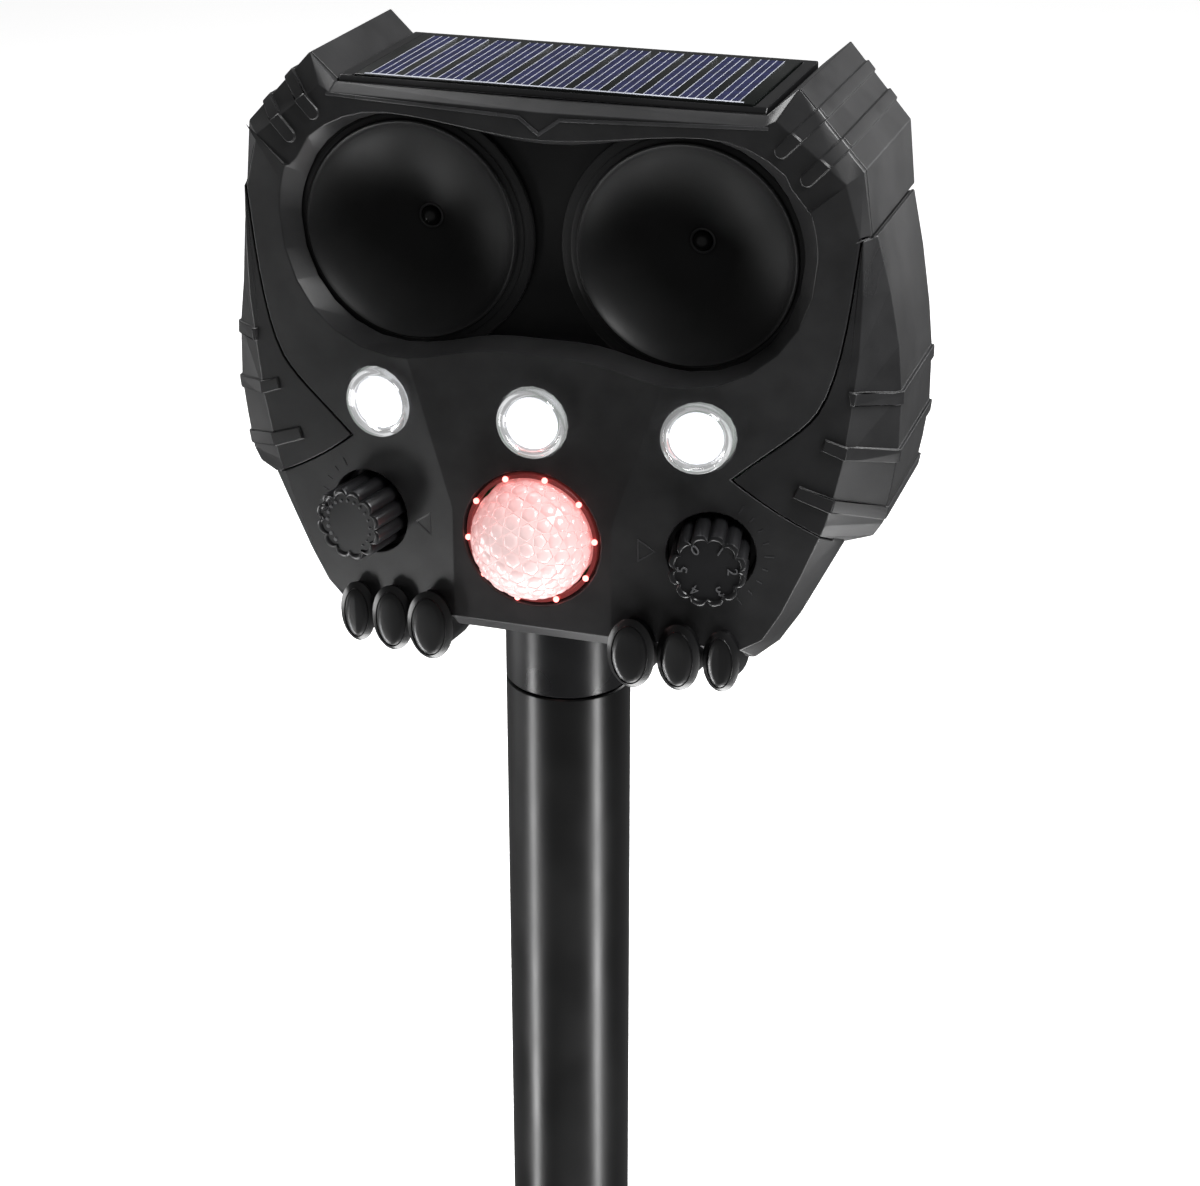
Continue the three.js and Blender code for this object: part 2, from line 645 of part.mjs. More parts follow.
// A ring of ten small red lights around the dome's foot
function alertRing() {
  const inner = DOME_RADIUS + GAP;
  const outer = DOME_RADIUS + 1;
  const section = [[inner, -1.3], [outer, -1.3], [outer, 2.9], [inner, 2.9], [inner, -1.3]];
  let ring = turned(section, DOME_SIDES, 0, DOME_Z);
  const count = 10;
  for (let i = 0; i < count; i += 1) {
    const turn = THREE.MathUtils.degToRad(5 + (360 / count) * i);
    const reach = (inner + outer) / 2 + 0.1;
    const bead = new THREE.SphereGeometry(0.75, 6, 4);
    bead.translate(Math.cos(turn) * reach, -1.3, DOME_Z + Math.sin(turn) * reach);
    ring = ring.add(solid(bead));
  }
  return cut(ring, rod(DOME_RADIUS + GAP, -20, 20, 0, DOME_Z, DOME_SIDES));
}

function motionSensor() {
  return turned([[0, 5.2], [4, 5.2], [4, 9], [4.7, 9], [4.7, 9.8], [0, 9.8]], 24, 0, DOME_Z);
}

// A fluted knob in a cheek frame: -Y points out of the face.
function knob() {
  const flutes = 12;
  const steps = 4;
  const outline = new THREE.Shape();
  for (let i = 0; i < flutes * steps; i += 1) {
    const turn = (i / (flutes * steps)) * 2 * Math.PI;
    const radius = KNOB_RADIUS - 0.85 * Math.abs(Math.sin((turn * flutes) / 2)) ** 1.6 - 0.4;
    const point = [radius * Math.cos(turn), radius * Math.sin(turn)];
    if (i === 0) {
      outline.moveTo(...point);
    } else {
      outline.lineTo(...point);
    }
  }
  outline.closePath();
  const bevel = 0.4;
  const depth = KNOB_PROUD + WELL_DEPTH - 0.6 - 2 * bevel;
  const geometry = new THREE.ExtrudeGeometry(outline, {
    depth,
    bevelThickness: bevel,
    bevelSize: bevel,
    bevelSegments: 1,
  });
  geometry.rotateX(Math.PI / 2);
  geometry.translate(0, depth + bevel - KNOB_PROUD, 0);
  const dish = rod(KNOB_RADIUS - 2.2, -KNOB_PROUD - 5, -KNOB_PROUD + 0.4);
  return cut(solid(geometry), dish, rod(SHAFT_RADIUS + GAP, -KNOB_PROUD + 3.4, 20));
}

function shaft() {
  const flat = box(1.6, 10, -10, 10, -10, 10);
  return cut(rod(SHAFT_RADIUS, -KNOB_PROUD + 3.8, 8.4, 0, 0, 20), flat);
}

function rotaryBody() {
  const bore = SHAFT_RADIUS + GAP;
  return turned([[bore, 6.6], [8, 6.6], [8, 11], [0, 11], [0, 9], [bore, 9], [bore, 6.6]], FINE);
}

function placeKnob(name, bodyName, side) {
  const place = onCheek(side * KNOB_X, KNOB_Z);
  add(`${name}_knob`, moved(knob(), place), knobFinish);
  add(`${name}_shaft`, moved(shaft(), place), steelFinish);
  add(bodyName, moved(rotaryBody(), place), steelFinish);
}

// A foot: three oval claws in a row, side by side and stepping back with the cheek
const claws = [
  { x: 21.9, z: -46.4, wide: 5.1, high: 7.7, front: -4.3 },
  { x: 31.3, z: -47.1, wide: 4.65, high: 7.4, front: -1.9 },
  { x: 39.9, z: -47.5, wide: 3.95, high: 6.8, front: -0.2 },
];

function foot() {
  const bevel = 1.1;
  const back = 9;
  const toes = claws.map(({ x, z, wide, high, front }) => {
    const oval = new THREE.Shape();
    oval.absellipse(x, z, wide - bevel, high - bevel, 0, 2 * Math.PI);
    const depth = back - front - 2 * bevel;
    const geometry = new THREE.ExtrudeGeometry(oval, {
      depth,
      curveSegments: 16,
      bevelThickness: bevel,
      bevelSize: bevel,
      bevelSegments: 1,
    });
    geometry.rotateX(Math.PI / 2);
    geometry.translate(0, depth + bevel + front, 0);
    return solid(geometry);
  });
  const web = box(claws[0].x, claws[2].x, 4.5, back, -51.8, -46);
  return cut(unite(...toes, web), common(coreBody(-GAP, FAR), faceSolid(-GAP)));
}

function mainBoard() {
  return box(-47, 47, 16.2, 17.8, -40, 7);
}

function batteryCell(z) {
  const cell = new THREE.CylinderGeometry(BATTERY_RADIUS, BATTERY_RADIUS, BATTERY_LENGTH, FINE);
  cell.rotateZ(Math.PI / 2);
  cell.translate(0, BATTERY_Y, z);
  return solid(cell);
}

function batteryTray() {
  const [low, high] = [BATTERY_HEIGHTS[0] - BATTERY_RADIUS, BATTERY_HEIGHTS[1] + BATTERY_RADIUS];
  const reach = BATTERY_LENGTH / 2;
  const front = BATTERY_Y - BATTERY_RADIUS;
  const outer = box(-reach - 2, reach + 2, front - 2, BATTERY_Y + 4, low - 1.5, high + 1.5);
  const inner = box(-reach - GAP, reach + GAP, front - GAP, FAR, low - GAP, high + GAP);
  return cut(outer, inner);
}

function batteryDoor() {
  const plate = common(
    box(-DOOR.x, DOOR.x, 0, FAR, DOOR.low, DOOR.high),
    beforeBack(0),
    behind((x, z) => backY(z) - DOOR.thick),
  );
  const ribs = [-2, -1, 0, 1, 2].map((step) => {
    const z = (DOOR.low + DOOR.high) / 2 + step * 5;
    const rib = box(-14, 14, 0, FAR, z - 0.7, z + 0.7);
    return common(rib, beforeBack(-0.6), behind((x, h) => backY(h) - 1));
  });
  const holes = DOOR_SCREW_HEIGHTS.map((z) => rod(1.6, 0, FAR, 0, z, 16));
  return cut(unite(plate, ...ribs), ...holes);
}

// A pan-head screw along Y: the head's face at y = 0, the shank towards -Y
function screw(headRadius, headHeight, radius, length) {
  const body = turned([
    [0, -length], [radius, -length + 1.5], [radius, -headHeight], [headRadius, -headHeight],
    [headRadius, 0], [0, 0],
  ], 16);
  const slot = box(-headRadius * 0.6, headRadius * 0.6, -0.9, 1, -0.35, 0.35);
  const crossSlot = box(-0.35, 0.35, -0.9, 1, -headRadius * 0.6, headRadius * 0.6);
  return cut(body, slot, crossSlot);
}

function placeScrews() {
  for (const [i, [x, z]] of CASE_SCREWS.entries()) {
    const y = backY(z) - SCREW_SINK + GAP + 2.2;
    const piece = screw(2.9, 2.2, 1.4, y - PARTING + 2.6);
    add(`case_screw_${i + 1}`, piece.translate([x, y, z]), steelFinish);
  }
  for (const [i, z] of DOOR_SCREW_HEIGHTS.entries()) {
    const piece = screw(2.4, 1.2, 1, 5.4);
    add(`door_screw_${i + 1}`, piece.translate([0, backY(z) + 1.8, z]), steelFinish);
  }
}

// The power button's rubber cap and the switch behind it, in the back wall's frame
function powerButton() {
  const r = BUTTON_RADIUS;
  return turned([
    [0, -4.4], [r + 1.3, -4.4], [r + 1.3, -WALL - 1.6], [r, -WALL - 1.6], [r, 0.8],
    [r - 0.5, 1.3], [r - 2.2, 1.3], [r - 2.8, 0.9], [0, 0.9],
  ], FINE);
}

function powerSwitch() {
  return unite(box(-6, 6, -15, -7.4, -6, 6), box(-1.6, 1.6, -8, -6, -1.6, 1.6));
}

function usbSocket() {
  const can = box(-4.5, 4.5, -10, -2.6, -1.65, 1.65);
  return cut(can, box(-4.1, 4.1, -9, 0, -1.25, 1.25));
}

// A rubber flap over the charging port: it swings up about the barrel along its top edge.
function usbFlap() {
  const plate = box(-FLAP.x, FLAP.x, GAP, FLAP.thick, FLAP.low, FLAP.hinge);
  const barrel = new THREE.CylinderGeometry(1, 1, 2 * FLAP.x, 16);
  barrel.rotateZ(Math.PI / 2);
  barrel.translate(0, 1 + GAP, FLAP.hinge);
  const nub = box(-5.2, 5.2, -1.2, 1, -2.8, 2.8);
  const tab = box(-3, 3, GAP, FLAP.thick, FLAP.low - 1.6, FLAP.low + 1);
  return unite(plate, solid(barrel), nub, tab);
}

// The neck: a collar as wide as the pole, a plug below it and a threaded stub above it
function neckCollar() {
  const plug = POLE_RADIUS - POLE_WALL - GAP;
  const seat = NECK_SEAT_Z - GAP;
  const low = COLLAR_BOTTOM - PLUG_LENGTH;
  const stub = NECK_SEAT_Z + 5.2;
  return turnedUp([
    [0, low], [plug - 0.8, low], [plug, low + 1], [plug, COLLAR_BOTTOM],
    [POLE_RADIUS, COLLAR_BOTTOM], [POLE_RADIUS, seat], [NECK_STUB_RADIUS, seat],
    [NECK_STUB_RADIUS, stub], [0, stub],
  ]).translate([0, POLE_SETBACK, 0]);
}

function neckNut() {
  const bore = NECK_STUB_RADIUS + GAP;
  const low = NECK_SEAT_Z + WALL + GAP;
  const nut = turnedUp([[0, low], [12, low], [12, low + 2.3], [0, low + 2.3]], 6);
  const hole = turnedUp([[0, -60], [bore, -60], [bore, -30], [0, -30]]);
  return cut(nut, hole).translate([0, POLE_SETBACK, 0]);
}

function poleTube() {
  const low = SOIL_FLANGE_HEIGHT + GAP;
  const high = HEAD_HEIGHT + COLLAR_BOTTOM - GAP;
  const inner = POLE_RADIUS - POLE_WALL;
  return turnedUp([[inner, low], [POLE_RADIUS, low], [POLE_RADIUS, high], [inner, high],
    [inner, low]]);
}

// The ground spike: a plug for the tube, a soil flange and four fins that taper to a point
function groundSpike() {
  const plug = POLE_RADIUS - POLE_WALL - GAP;
  const top = turnedUp([
    [0, 0], [SOIL_FLANGE_RADIUS, 0], [SOIL_FLANGE_RADIUS, SOIL_FLANGE_HEIGHT - 0.8],
    [SOIL_FLANGE_RADIUS - 0.8, SOIL_FLANGE_HEIGHT], [plug, SOIL_FLANGE_HEIGHT], [plug, 18],
    [plug - 0.8, 19], [0, 19],
  ]);
  const core = turnedUp([[0, -SPIKE_LENGTH + 1], [1.2, -SPIKE_LENGTH + 6], [4.5, 1], [0, 1]], 16);
  const finHalf = [[0, 1], [12.5, 1], [12.5, -14], [9.5, -34], [2.2, -SPIKE_LENGTH + 7],
    [0, -SPIKE_LENGTH]];
  const fins = prism(wholeOutline(finHalf), -1.5, 1.5);
  return unite(top, core, fins, fins.rotate([0, 0, 90]));
}

add("front_shell", frontShell(), shellFinish);
add("rear_shell", rearShell(), shellFinish);
addPair("wing", wing(), trimFinish);
add("panel_frame", panelFrame(), trimFinish);
add("solar_panel", solarPanel(), cellFinish);
addPair("horn", horn(), hornFinish);
addPair("horn_dome", hornDome(), hornFinish);
addPair("horn_driver", hornDriver(), steelFinish);
add("horn_baffle", hornBaffle(), baffleFinish);
placeLight("left_light", onCheek(-LIGHT_X, 0));
placeLight("middle_light", new THREE.Matrix4().makeTranslation(0, MIDDLE_LIGHT_Y, 0));
placeLight("right_light", onCheek(LIGHT_X, 0));
add("sensor_dome", sensorDome(), domeFinish);
add("alert_ring", alertRing(), redFinish);
add("motion_sensor", motionSensor(), steelFinish);
placeKnob("sensitivity", "sensitivity_potentiometer", -1);
placeKnob("frequency", "frequency_selector", 1);
addPair("foot", foot(), glossFinish);
add("main_board", mainBoard(), boardFinish);
for (const [i, z] of BATTERY_HEIGHTS.entries()) {
  add(`battery_cell_${i + 1}`, batteryCell(z), batteryFinish);
}
add("battery_tray", batteryTray(), trimFinish);
add("battery_door", batteryDoor(), shellFinish);
placeScrews();
add("power_button", moved(powerButton(), onBack(BUTTON_PLACE)), rubberFinish);
add("power_switch", moved(powerSwitch(), onBack(BUTTON_PLACE)), whiteFinish);
add("usb_socket", moved(usbSocket(), onBack(USB_PLACE)), steelFinish);
add("usb_flap", moved(usbFlap(), onBack(USB_PLACE)), rubberFinish);
add("neck_collar", neckCollar(), collarFinish);
add("neck_nut", neckNut(), steelFinish);
add("pole_tube", poleTube(), tubeFinish, repeller);
add("ground_spike", groundSpike(), collarFinish, repeller);

export default repeller;
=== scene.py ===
# %% [markdown]
# # An owl-faced garden repeller, piece by piece
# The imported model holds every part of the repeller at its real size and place. This lesson gives
# it its looks. Some parts only need a finish, some are copied and get soft moulded edges, and the
# round or shiny ones are modelled again with a finer surface.

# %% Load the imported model
import json
import math

import bmesh
import bpy
from mathutils import Matrix, Vector
from mathutils.bvhtree import BVHTree


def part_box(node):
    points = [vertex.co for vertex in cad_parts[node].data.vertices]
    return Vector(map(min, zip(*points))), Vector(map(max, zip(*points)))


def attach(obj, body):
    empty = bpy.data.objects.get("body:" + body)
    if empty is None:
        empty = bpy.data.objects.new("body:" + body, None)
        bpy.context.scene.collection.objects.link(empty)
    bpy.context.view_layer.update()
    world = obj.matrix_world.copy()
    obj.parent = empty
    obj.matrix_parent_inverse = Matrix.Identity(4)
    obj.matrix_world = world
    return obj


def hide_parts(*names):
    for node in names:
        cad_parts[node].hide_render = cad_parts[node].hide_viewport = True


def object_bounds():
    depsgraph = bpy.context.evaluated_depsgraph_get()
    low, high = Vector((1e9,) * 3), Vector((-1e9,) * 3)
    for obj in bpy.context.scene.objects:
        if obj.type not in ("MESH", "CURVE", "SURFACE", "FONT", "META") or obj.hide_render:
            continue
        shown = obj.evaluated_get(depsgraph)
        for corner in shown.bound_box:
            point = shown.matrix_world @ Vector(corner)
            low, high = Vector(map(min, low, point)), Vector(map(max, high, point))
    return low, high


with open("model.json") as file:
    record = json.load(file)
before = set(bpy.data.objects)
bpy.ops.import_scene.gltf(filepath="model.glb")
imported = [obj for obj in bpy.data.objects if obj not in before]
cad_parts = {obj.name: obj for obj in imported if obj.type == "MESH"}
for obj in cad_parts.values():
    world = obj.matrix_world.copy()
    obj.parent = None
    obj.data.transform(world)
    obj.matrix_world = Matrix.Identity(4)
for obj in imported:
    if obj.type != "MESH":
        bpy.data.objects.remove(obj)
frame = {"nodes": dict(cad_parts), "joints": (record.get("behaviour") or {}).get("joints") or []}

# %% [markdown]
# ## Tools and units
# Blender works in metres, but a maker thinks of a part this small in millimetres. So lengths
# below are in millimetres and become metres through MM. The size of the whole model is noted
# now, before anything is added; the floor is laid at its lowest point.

MM = 0.001
cad_low, cad_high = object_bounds()
nodes = frame["nodes"]
joints = {joint["name"]: joint for joint in frame["joints"]}
print("parts in the frame:", len(nodes))

# %% [markdown]
# ## The camera
# A long lens keeps the near and far parts of the head in proportion. The camera stands in front
# of the head, turned towards its right cheek, and looks down by about a quarter of a right
# angle. Making it first means that every later choice can be judged through it.

# %% Camera
AZIMUTH = math.radians(18.02)
ELEVATION = math.radians(24.36)
camera_data = bpy.data.cameras.new("camera")
camera_data.lens = 79.38
camera_data.sensor_width = 36
camera = bpy.data.objects.new("camera", camera_data)
camera.location = (0.1665, -0.4897, 0.4154)
camera.rotation_euler = (math.pi / 2 - ELEVATION, 0, AZIMUTH)
bpy.context.scene.collection.objects.link(camera)
bpy.context.scene.camera = camera
bpy.context.scene.view_settings.view_transform = "Standard"
print("camera at", tuple(camera.location))

# %% [markdown]
# ## Lamps
# Black plastic is mostly seen by what it reflects, so the lamps are large white panels and not
# small bulbs. A strip on each side draws a bright band down the pole, panels above light the
# solar panel and the shoulders, and one under the floor fills the bevels that face down.

# %% Lamps
def softbox(name, azimuth, distance, height, size, power, aim=0.2):
    """A rectangular lamp at an azimuth in degrees, turned towards a height on the pole's axis."""
    lamp = bpy.data.lights.new(name, "AREA")
    lamp.shape = "RECTANGLE"
    lamp.size, lamp.size_y = size
    lamp.energy = power
    made = bpy.data.objects.new(name, lamp)
    turn = math.radians(azimuth)
    made.location = (math.sin(turn) * distance, -math.cos(turn) * distance, height)
    facing = made.location - Vector((0, 0, aim))
    made.rotation_euler = facing.to_track_quat("Z", "Y").to_euler()
    made.visible_camera = False
    bpy.context.scene.collection.objects.link(made)


softbox("left_strip", -52, 0.36, -0.12, (0.06, 0.26), 0.95, -0.12)
softbox("right_strip", 72, 0.36, -0.12, (0.06, 0.26), 1.1, -0.12)
softbox("left_panel", -84, 1.2, -0.08, (0.6, 0.4), 4)
softbox("left_top_panel", -120, 0.9, 1.0, (0.6, 0.5), 9)
softbox("right_top_panel", 92, 0.95, 1.25, (0.9, 0.6), 30)
softbox("right_back_panel", 135, 1.2, 0.45, (0.6, 0.6), 6)
softbox("floor_bounce", 40, 0.2, -1.1, (0.9, 0.9), 26)

world = bpy.data.worlds.new("studio")
world.use_nodes = True
world.node_tree.nodes["Background"].inputs["Color"].default_value = (1, 1, 1, 1)
world.node_tree.nodes["Background"].inputs["Strength"].default_value = 0.12
bpy.context.scene.world = world
print("lamps:", len(bpy.data.lights))

# %% [markdown]
# ## Floor and wall
# The floor is a wide round of pale paper that turns up into a wall far away, so no horizon shows
# from any side. A real sweep of paper would also light the object from below. Here only the
# camera sees it, because its glow would wash out the reflections in the black plastic.

# %% Floor and wall
FLOOR_RADIUS = 18
WALL_HEIGHT = 14
floor_bm = bmesh.new()
bmesh.ops.create_circle(floor_bm, cap_ends=True, segments=64, radius=FLOOR_RADIUS)
bmesh.ops.translate(floor_bm, verts=floor_bm.verts, vec=(0, 0, cad_low.z))
wall = bmesh.ops.extrude_edge_only(floor_bm, edges=floor_bm.edges[:])
raised = [item for item in wall["geom"] if isinstance(item, bmesh.types.BMVert)]
bmesh.ops.translate(floor_bm, verts=raised, vec=(0, 0, WALL_HEIGHT))
floor_mesh = bpy.data.meshes.new("floor")
floor_bm.to_mesh(floor_mesh)
floor_bm.free()
floor = bpy.data.objects.new("floor", floor_mesh)
bpy.context.scene.collection.objects.link(floor)
paper = bpy.data.materials.new("paper")
paper.use_nodes = True
paper_shader = paper.node_tree.nodes["Principled BSDF"]
paper_shader.inputs["Base Color"].default_value = (0.8, 0.8, 0.8, 1)
paper_shader.inputs["Roughness"].default_value = 0.9
paper_shader.inputs["Emission Color"].default_value = (1, 1, 1, 1)
paper_shader.inputs["Emission Strength"].default_value = 0.75
floor_mesh.materials.append(paper)
floor.visible_glossy = False
floor.visible_diffuse = False
floor.visible_shadow = False
print("floor at", round(cad_low.z / MM, 1), "mm")

# %% [markdown]
# ## Shader helpers
# Every finish is a Principled shader with its constants on the shader's own sockets and only the
# detail driven by nodes, so the exported model keeps them. Three small helpers save repeating
# the same lines: one makes the shader, one adds a node, and one joins two sockets.

# %% Shader helpers
def shader(name, color, roughness, metallic=0.0, **sockets):
    """A material with one Principled shader and the given constants on its sockets."""
    made = bpy.data.materials.new(name)
    made.use_nodes = True
    principled = made.node_tree.nodes["Principled BSDF"]
    principled.inputs["Base Color"].default_value = (*color, 1)
    principled.inputs["Roughness"].default_value = roughness
    principled.inputs["Metallic"].default_value = metallic
    for socket, value in sockets.items():
        principled.inputs[socket.replace("_", " ")].default_value = value
    return made


def node(material, kind, **values):
    """Adds a node; a value goes to the socket of that name, or else to the node's own setting."""
    made = material.node_tree.nodes.new(kind)
    for key, value in values.items():
        if key in made.inputs:
            made.inputs[key].default_value = value
        else:
            setattr(made, key, value)
    return made


def link(material, source, target):
    material.node_tree.links.new(source, target)


print("shader helpers ready")

# %% [markdown]
# ## Pattern helpers
# A surface's detail comes from a noise that lives in the object's own coordinates, which are real
# metres here: a noise scale of 3000 is a grain of a third of a millimetre. The same noise can
# change a number, blend two colours or raise a bump.

# %% Pattern helpers
def noise(material, scale, detail=3.0):
    """A noise on Object coordinates; scale is in features per metre."""
    places = node(material, "ShaderNodeTexCoord")
    made = node(material, "ShaderNodeTexNoise", Scale=scale, Detail=detail)
    link(material, places.outputs["Object"], made.inputs["Vector"])
    return made.outputs["Fac"]


def spread(material, source, low, high):
    """Maps the middle of a noise's values onto the range from low to high."""
    made = node(material, "ShaderNodeMapRange")
    made.inputs["From Min"].default_value = 0.3
    made.inputs["From Max"].default_value = 0.7
    made.inputs["To Min"].default_value = low
    made.inputs["To Max"].default_value = high
    link(material, source, made.inputs["Value"])
    return made.outputs["Result"]


def blend_colors(material, source, dark, light):
    made = node(material, "ShaderNodeMix", data_type="RGBA")
    made.inputs["A"].default_value = (*dark, 1)
    made.inputs["B"].default_value = (*light, 1)
    link(material, source, made.inputs["Factor"])
    return made.outputs["Result"]


def bump(material, height, strength, distance):
    principled = material.node_tree.nodes["Principled BSDF"]
    made = node(material, "ShaderNodeBump", Strength=strength, Distance=distance)
    link(material, height, made.inputs["Height"])
    link(material, made.outputs["Normal"], principled.inputs["Normal"])


print("pattern helpers ready")

# %% [markdown]
# ## Moulded plastics
# Moulded plastic takes the fine spark-eroded grain of its mould, and its sheen and shade change
# slowly from place to place. One recipe makes all of them: a slow noise on the roughness, a
# patchy one on the colour and a very fine bump. Only the shade, gloss and grain differ.

# %% Moulded plastics
def moulded(name, color, roughness, grain=2600, depth=0.25, vary=0.07, level=0.35, **sockets):
    """Moulded plastic: a grain, a slow change of sheen and a faint change of shade."""
    made = shader(name, color, roughness, Specular_IOR_Level=level, **sockets)
    principled = made.node_tree.nodes["Principled BSDF"]
    slow = noise(made, 45, 2.0)
    link(made, spread(made, slow, roughness - vary, roughness + vary),
         principled.inputs["Roughness"])
    dark = tuple(part * 0.82 for part in color)
    light = tuple(part * 1.18 for part in color)
    patches = spread(made, noise(made, 160, 4.0), 0.0, 1.0)
    link(made, blend_colors(made, patches, dark, light), principled.inputs["Base Color"])
    bump(made, noise(made, grain, 2.0), depth, 0.00006)
    return made


case_black = moulded("case_black", (0.025, 0.025, 0.0258), 0.36, level=0.4)
wing_black = moulded("wing_black", (0.02, 0.02, 0.0208), 0.34, level=0.4)
frame_black = moulded("frame_black", (0.007, 0.007, 0.0075), 0.34, level=0.4)
horn_black = moulded("horn_black", (0.011, 0.011, 0.0115), 0.5, depth=0.08, level=0.35)
baffle_black = moulded("baffle_black", (0.004, 0.004, 0.0045), 0.38, depth=0.12)
knob_black = moulded("knob_black", (0.011, 0.011, 0.012), 0.30, depth=0.1, level=0.5)
claw_black = moulded("claw_black", (0.005, 0.005, 0.0055), 0.34, depth=0.04, level=0.5,
                     Coat_Weight=0.25, Coat_Roughness=0.16)
collar_black = moulded("collar_black", (0.009, 0.009, 0.01), 0.32, depth=0.12, level=0.45)
pole_black = moulded("pole_black", (0.0018, 0.0018, 0.002), 0.34, grain=1500, depth=0.02,
                     level=0.3, Coat_Weight=0.3, Coat_Roughness=0.26)
rubber_black = moulded("rubber_black", (0.013, 0.013, 0.013), 0.7, grain=1700, depth=0.4)
tray_black = moulded("tray_black", (0.012, 0.012, 0.013), 0.55)
# A lighter grey: a painted highlight on the brow line and on the rings round the horn balls, and
# the colour of the pointers and ticks beside the knobs.
highlight_and_mark_grey = moulded("highlight_and_mark_grey", (0.05, 0.05, 0.052), 0.3, depth=0.1, level=0.5)
mark_grey = moulded("mark_grey", (0.12, 0.12, 0.125), 0.3, depth=0.1, level=0.5)
white_plastic = moulded("white_plastic", (0.75, 0.75, 0.73), 0.4, level=0.5)
print("moulded finishes made:", len(bpy.data.materials))

# %% [markdown]
# ## Lit and clear finishes
# The lamps and the red alert lights glow, a little less in some places than in others. The gutter
# round the red lights has a faint painted red glow, standing for their light falling on it. A
# light's cap is polished acrylic, so it is a clear shader with the bending of light that acrylic
# has. It also has a faint painted glow, standing for the light of the lamp behind it scattered in
# the cap.

# %% Lit and clear finishes
def glowing(name, color, strength, base=None):
    """A lit surface whose glow changes a little from place to place."""
    made = shader(name, base or color, 0.35, Emission_Strength=strength)
    principled = made.node_tree.nodes["Principled BSDF"]
    dim = tuple(part * 0.8 for part in color)
    clouds = spread(made, noise(made, 320, 3.0), 0.0, 1.0)
    link(made, blend_colors(made, clouds, dim, color), principled.inputs["Emission Color"])
    return made


lamp_white = glowing("lamp_white", (1.0, 1.0, 1.0), 3.0)
alert_red = glowing("alert_red", (1.0, 0.22, 0.2), 5.0, base=(0.8, 0.05, 0.05))
# The gutter's faint glow is painted red light from the alert lights; the gutter is no lamp.
painted_red_glow = glowing("painted_red_glow", (1.0, 0.16, 0.14), 0.07, base=(0.16, 0.02, 0.02))
# The cap's faint glow is painted light from the lamp behind it, scattered in the acrylic.
clear_cap = shader("clear_cap", (0.96, 0.97, 1.0), 0.05, Transmission_Weight=1.0, IOR=1.49,
                   Emission_Color=(1, 1, 1, 1), Emission_Strength=0.12)
bump(clear_cap, noise(clear_cap, 260, 1.0), 0.12, 0.0002)
print("lit and clear finishes made")

# %% [markdown]
# ## The sensor dome's finish
# The dome is milky polyethylene, thin enough to glow pink from the red lights round its foot. So
# its glow is pale in the middle and redder towards the rim. Light scattered inside the wall could
# do the same, but a glow that depends on the distance from the dome's axis is steadier.

# %% Dome finish
def dome_finish():
    # The pink base colour and the glow are both painted red light from the alert lights; the
    # polyethylene itself is milky.
    made = shader("dome_pink", (0.62, 0.46, 0.46), 0.26, Coat_Weight=0.5, Emission_Strength=0.6)
    dome_height = joints["sensitivity_turn"]["pos_m"][2]
    places = node(made, "ShaderNodeTexCoord")
    flatten = node(made, "ShaderNodeVectorMath", operation="MULTIPLY")
    flatten.inputs[1].default_value = (1, 0, 1)
    from_axis = node(made, "ShaderNodeVectorMath", operation="DISTANCE")
    from_axis.inputs[1].default_value = (0, 0, dome_height)
    reach = node(made, "ShaderNodeMapRange")
    reach.inputs["From Min"].default_value = 0.006
    reach.inputs["From Max"].default_value = 0.0135
    link(made, places.outputs["Object"], flatten.inputs[0])
    link(made, flatten.outputs["Vector"], from_axis.inputs[0])
    link(made, from_axis.outputs["Value"], reach.inputs["Value"])
    pinkness = blend_colors(made, reach.outputs["Result"], (1.0, 0.72, 0.7), (1.0, 0.3, 0.28))
    link(made, pinkness, made.node_tree.nodes["Principled BSDF"].inputs["Emission Color"])
    bump(made, noise(made, 420, 1.0), 0.2, 0.0003)
    return made


dome_pink = dome_finish()
print("dome finish made")

# %% [markdown]
# ## Metals
# Plated steel and the lamps' mirrors have fine rolling and polishing marks. A noise that is
# squeezed along one direction gives such marks, both as a change of gloss and as a faint bump.

# %% Metals
def plated(name, color, roughness):
    made = shader(name, color, roughness, metallic=1.0)
    principled = made.node_tree.nodes["Principled BSDF"]
    places = node(made, "ShaderNodeTexCoord")
    stretch = node(made, "ShaderNodeMapping")
    stretch.inputs["Scale"].default_value = (300, 300, 6000)
    marks = node(made, "ShaderNodeTexNoise", Scale=1.0, Detail=4.0)
    link(made, places.outputs["Object"], stretch.inputs["Vector"])
    link(made, stretch.outputs["Vector"], marks.inputs["Vector"])
    link(made, spread(made, marks.outputs["Fac"], roughness - 0.1, roughness + 0.12),
         principled.inputs["Roughness"])
    bump(made, marks.outputs["Fac"], 0.1, 0.00003)
    return made


steel = plated("plated_steel", (0.55, 0.55, 0.56), 0.34)
silver = moulded("cell_silver", (0.5, 0.52, 0.58), 0.35, depth=0.05, level=0.6)
mirror = plated("lamp_mirror", (0.85, 0.85, 0.86), 0.16)
print("metals made")

# %% [markdown]
# ## Solar cells and circuit board
# A cell is dark blue silicon whose crystals differ a little in shade, which a Voronoi pattern
# gives with one random colour per crystal. It lies in black resin. The board shows its copper
# tracks through a green mask, and a brick pattern with pale joints stands for the tracks.

# %% Cells and board
def cells_finish():
    made = shader("cell_blue", (0.02, 0.025, 0.12), 0.3, Specular_IOR_Level=0.2,
                  Coat_Weight=0.15, Coat_Roughness=0.1)
    principled = made.node_tree.nodes["Principled BSDF"]
    places = node(made, "ShaderNodeTexCoord")
    crystals = node(made, "ShaderNodeTexVoronoi", Scale=520.0)
    link(made, places.outputs["Object"], crystals.inputs["Vector"])
    shade = node(made, "ShaderNodeSeparateColor")
    link(made, crystals.outputs["Color"], shade.inputs["Color"])
    link(made, blend_colors(made, shade.outputs["Red"], (0.006, 0.0075, 0.034),
                            (0.013, 0.016, 0.066)), principled.inputs["Base Color"])
    return made


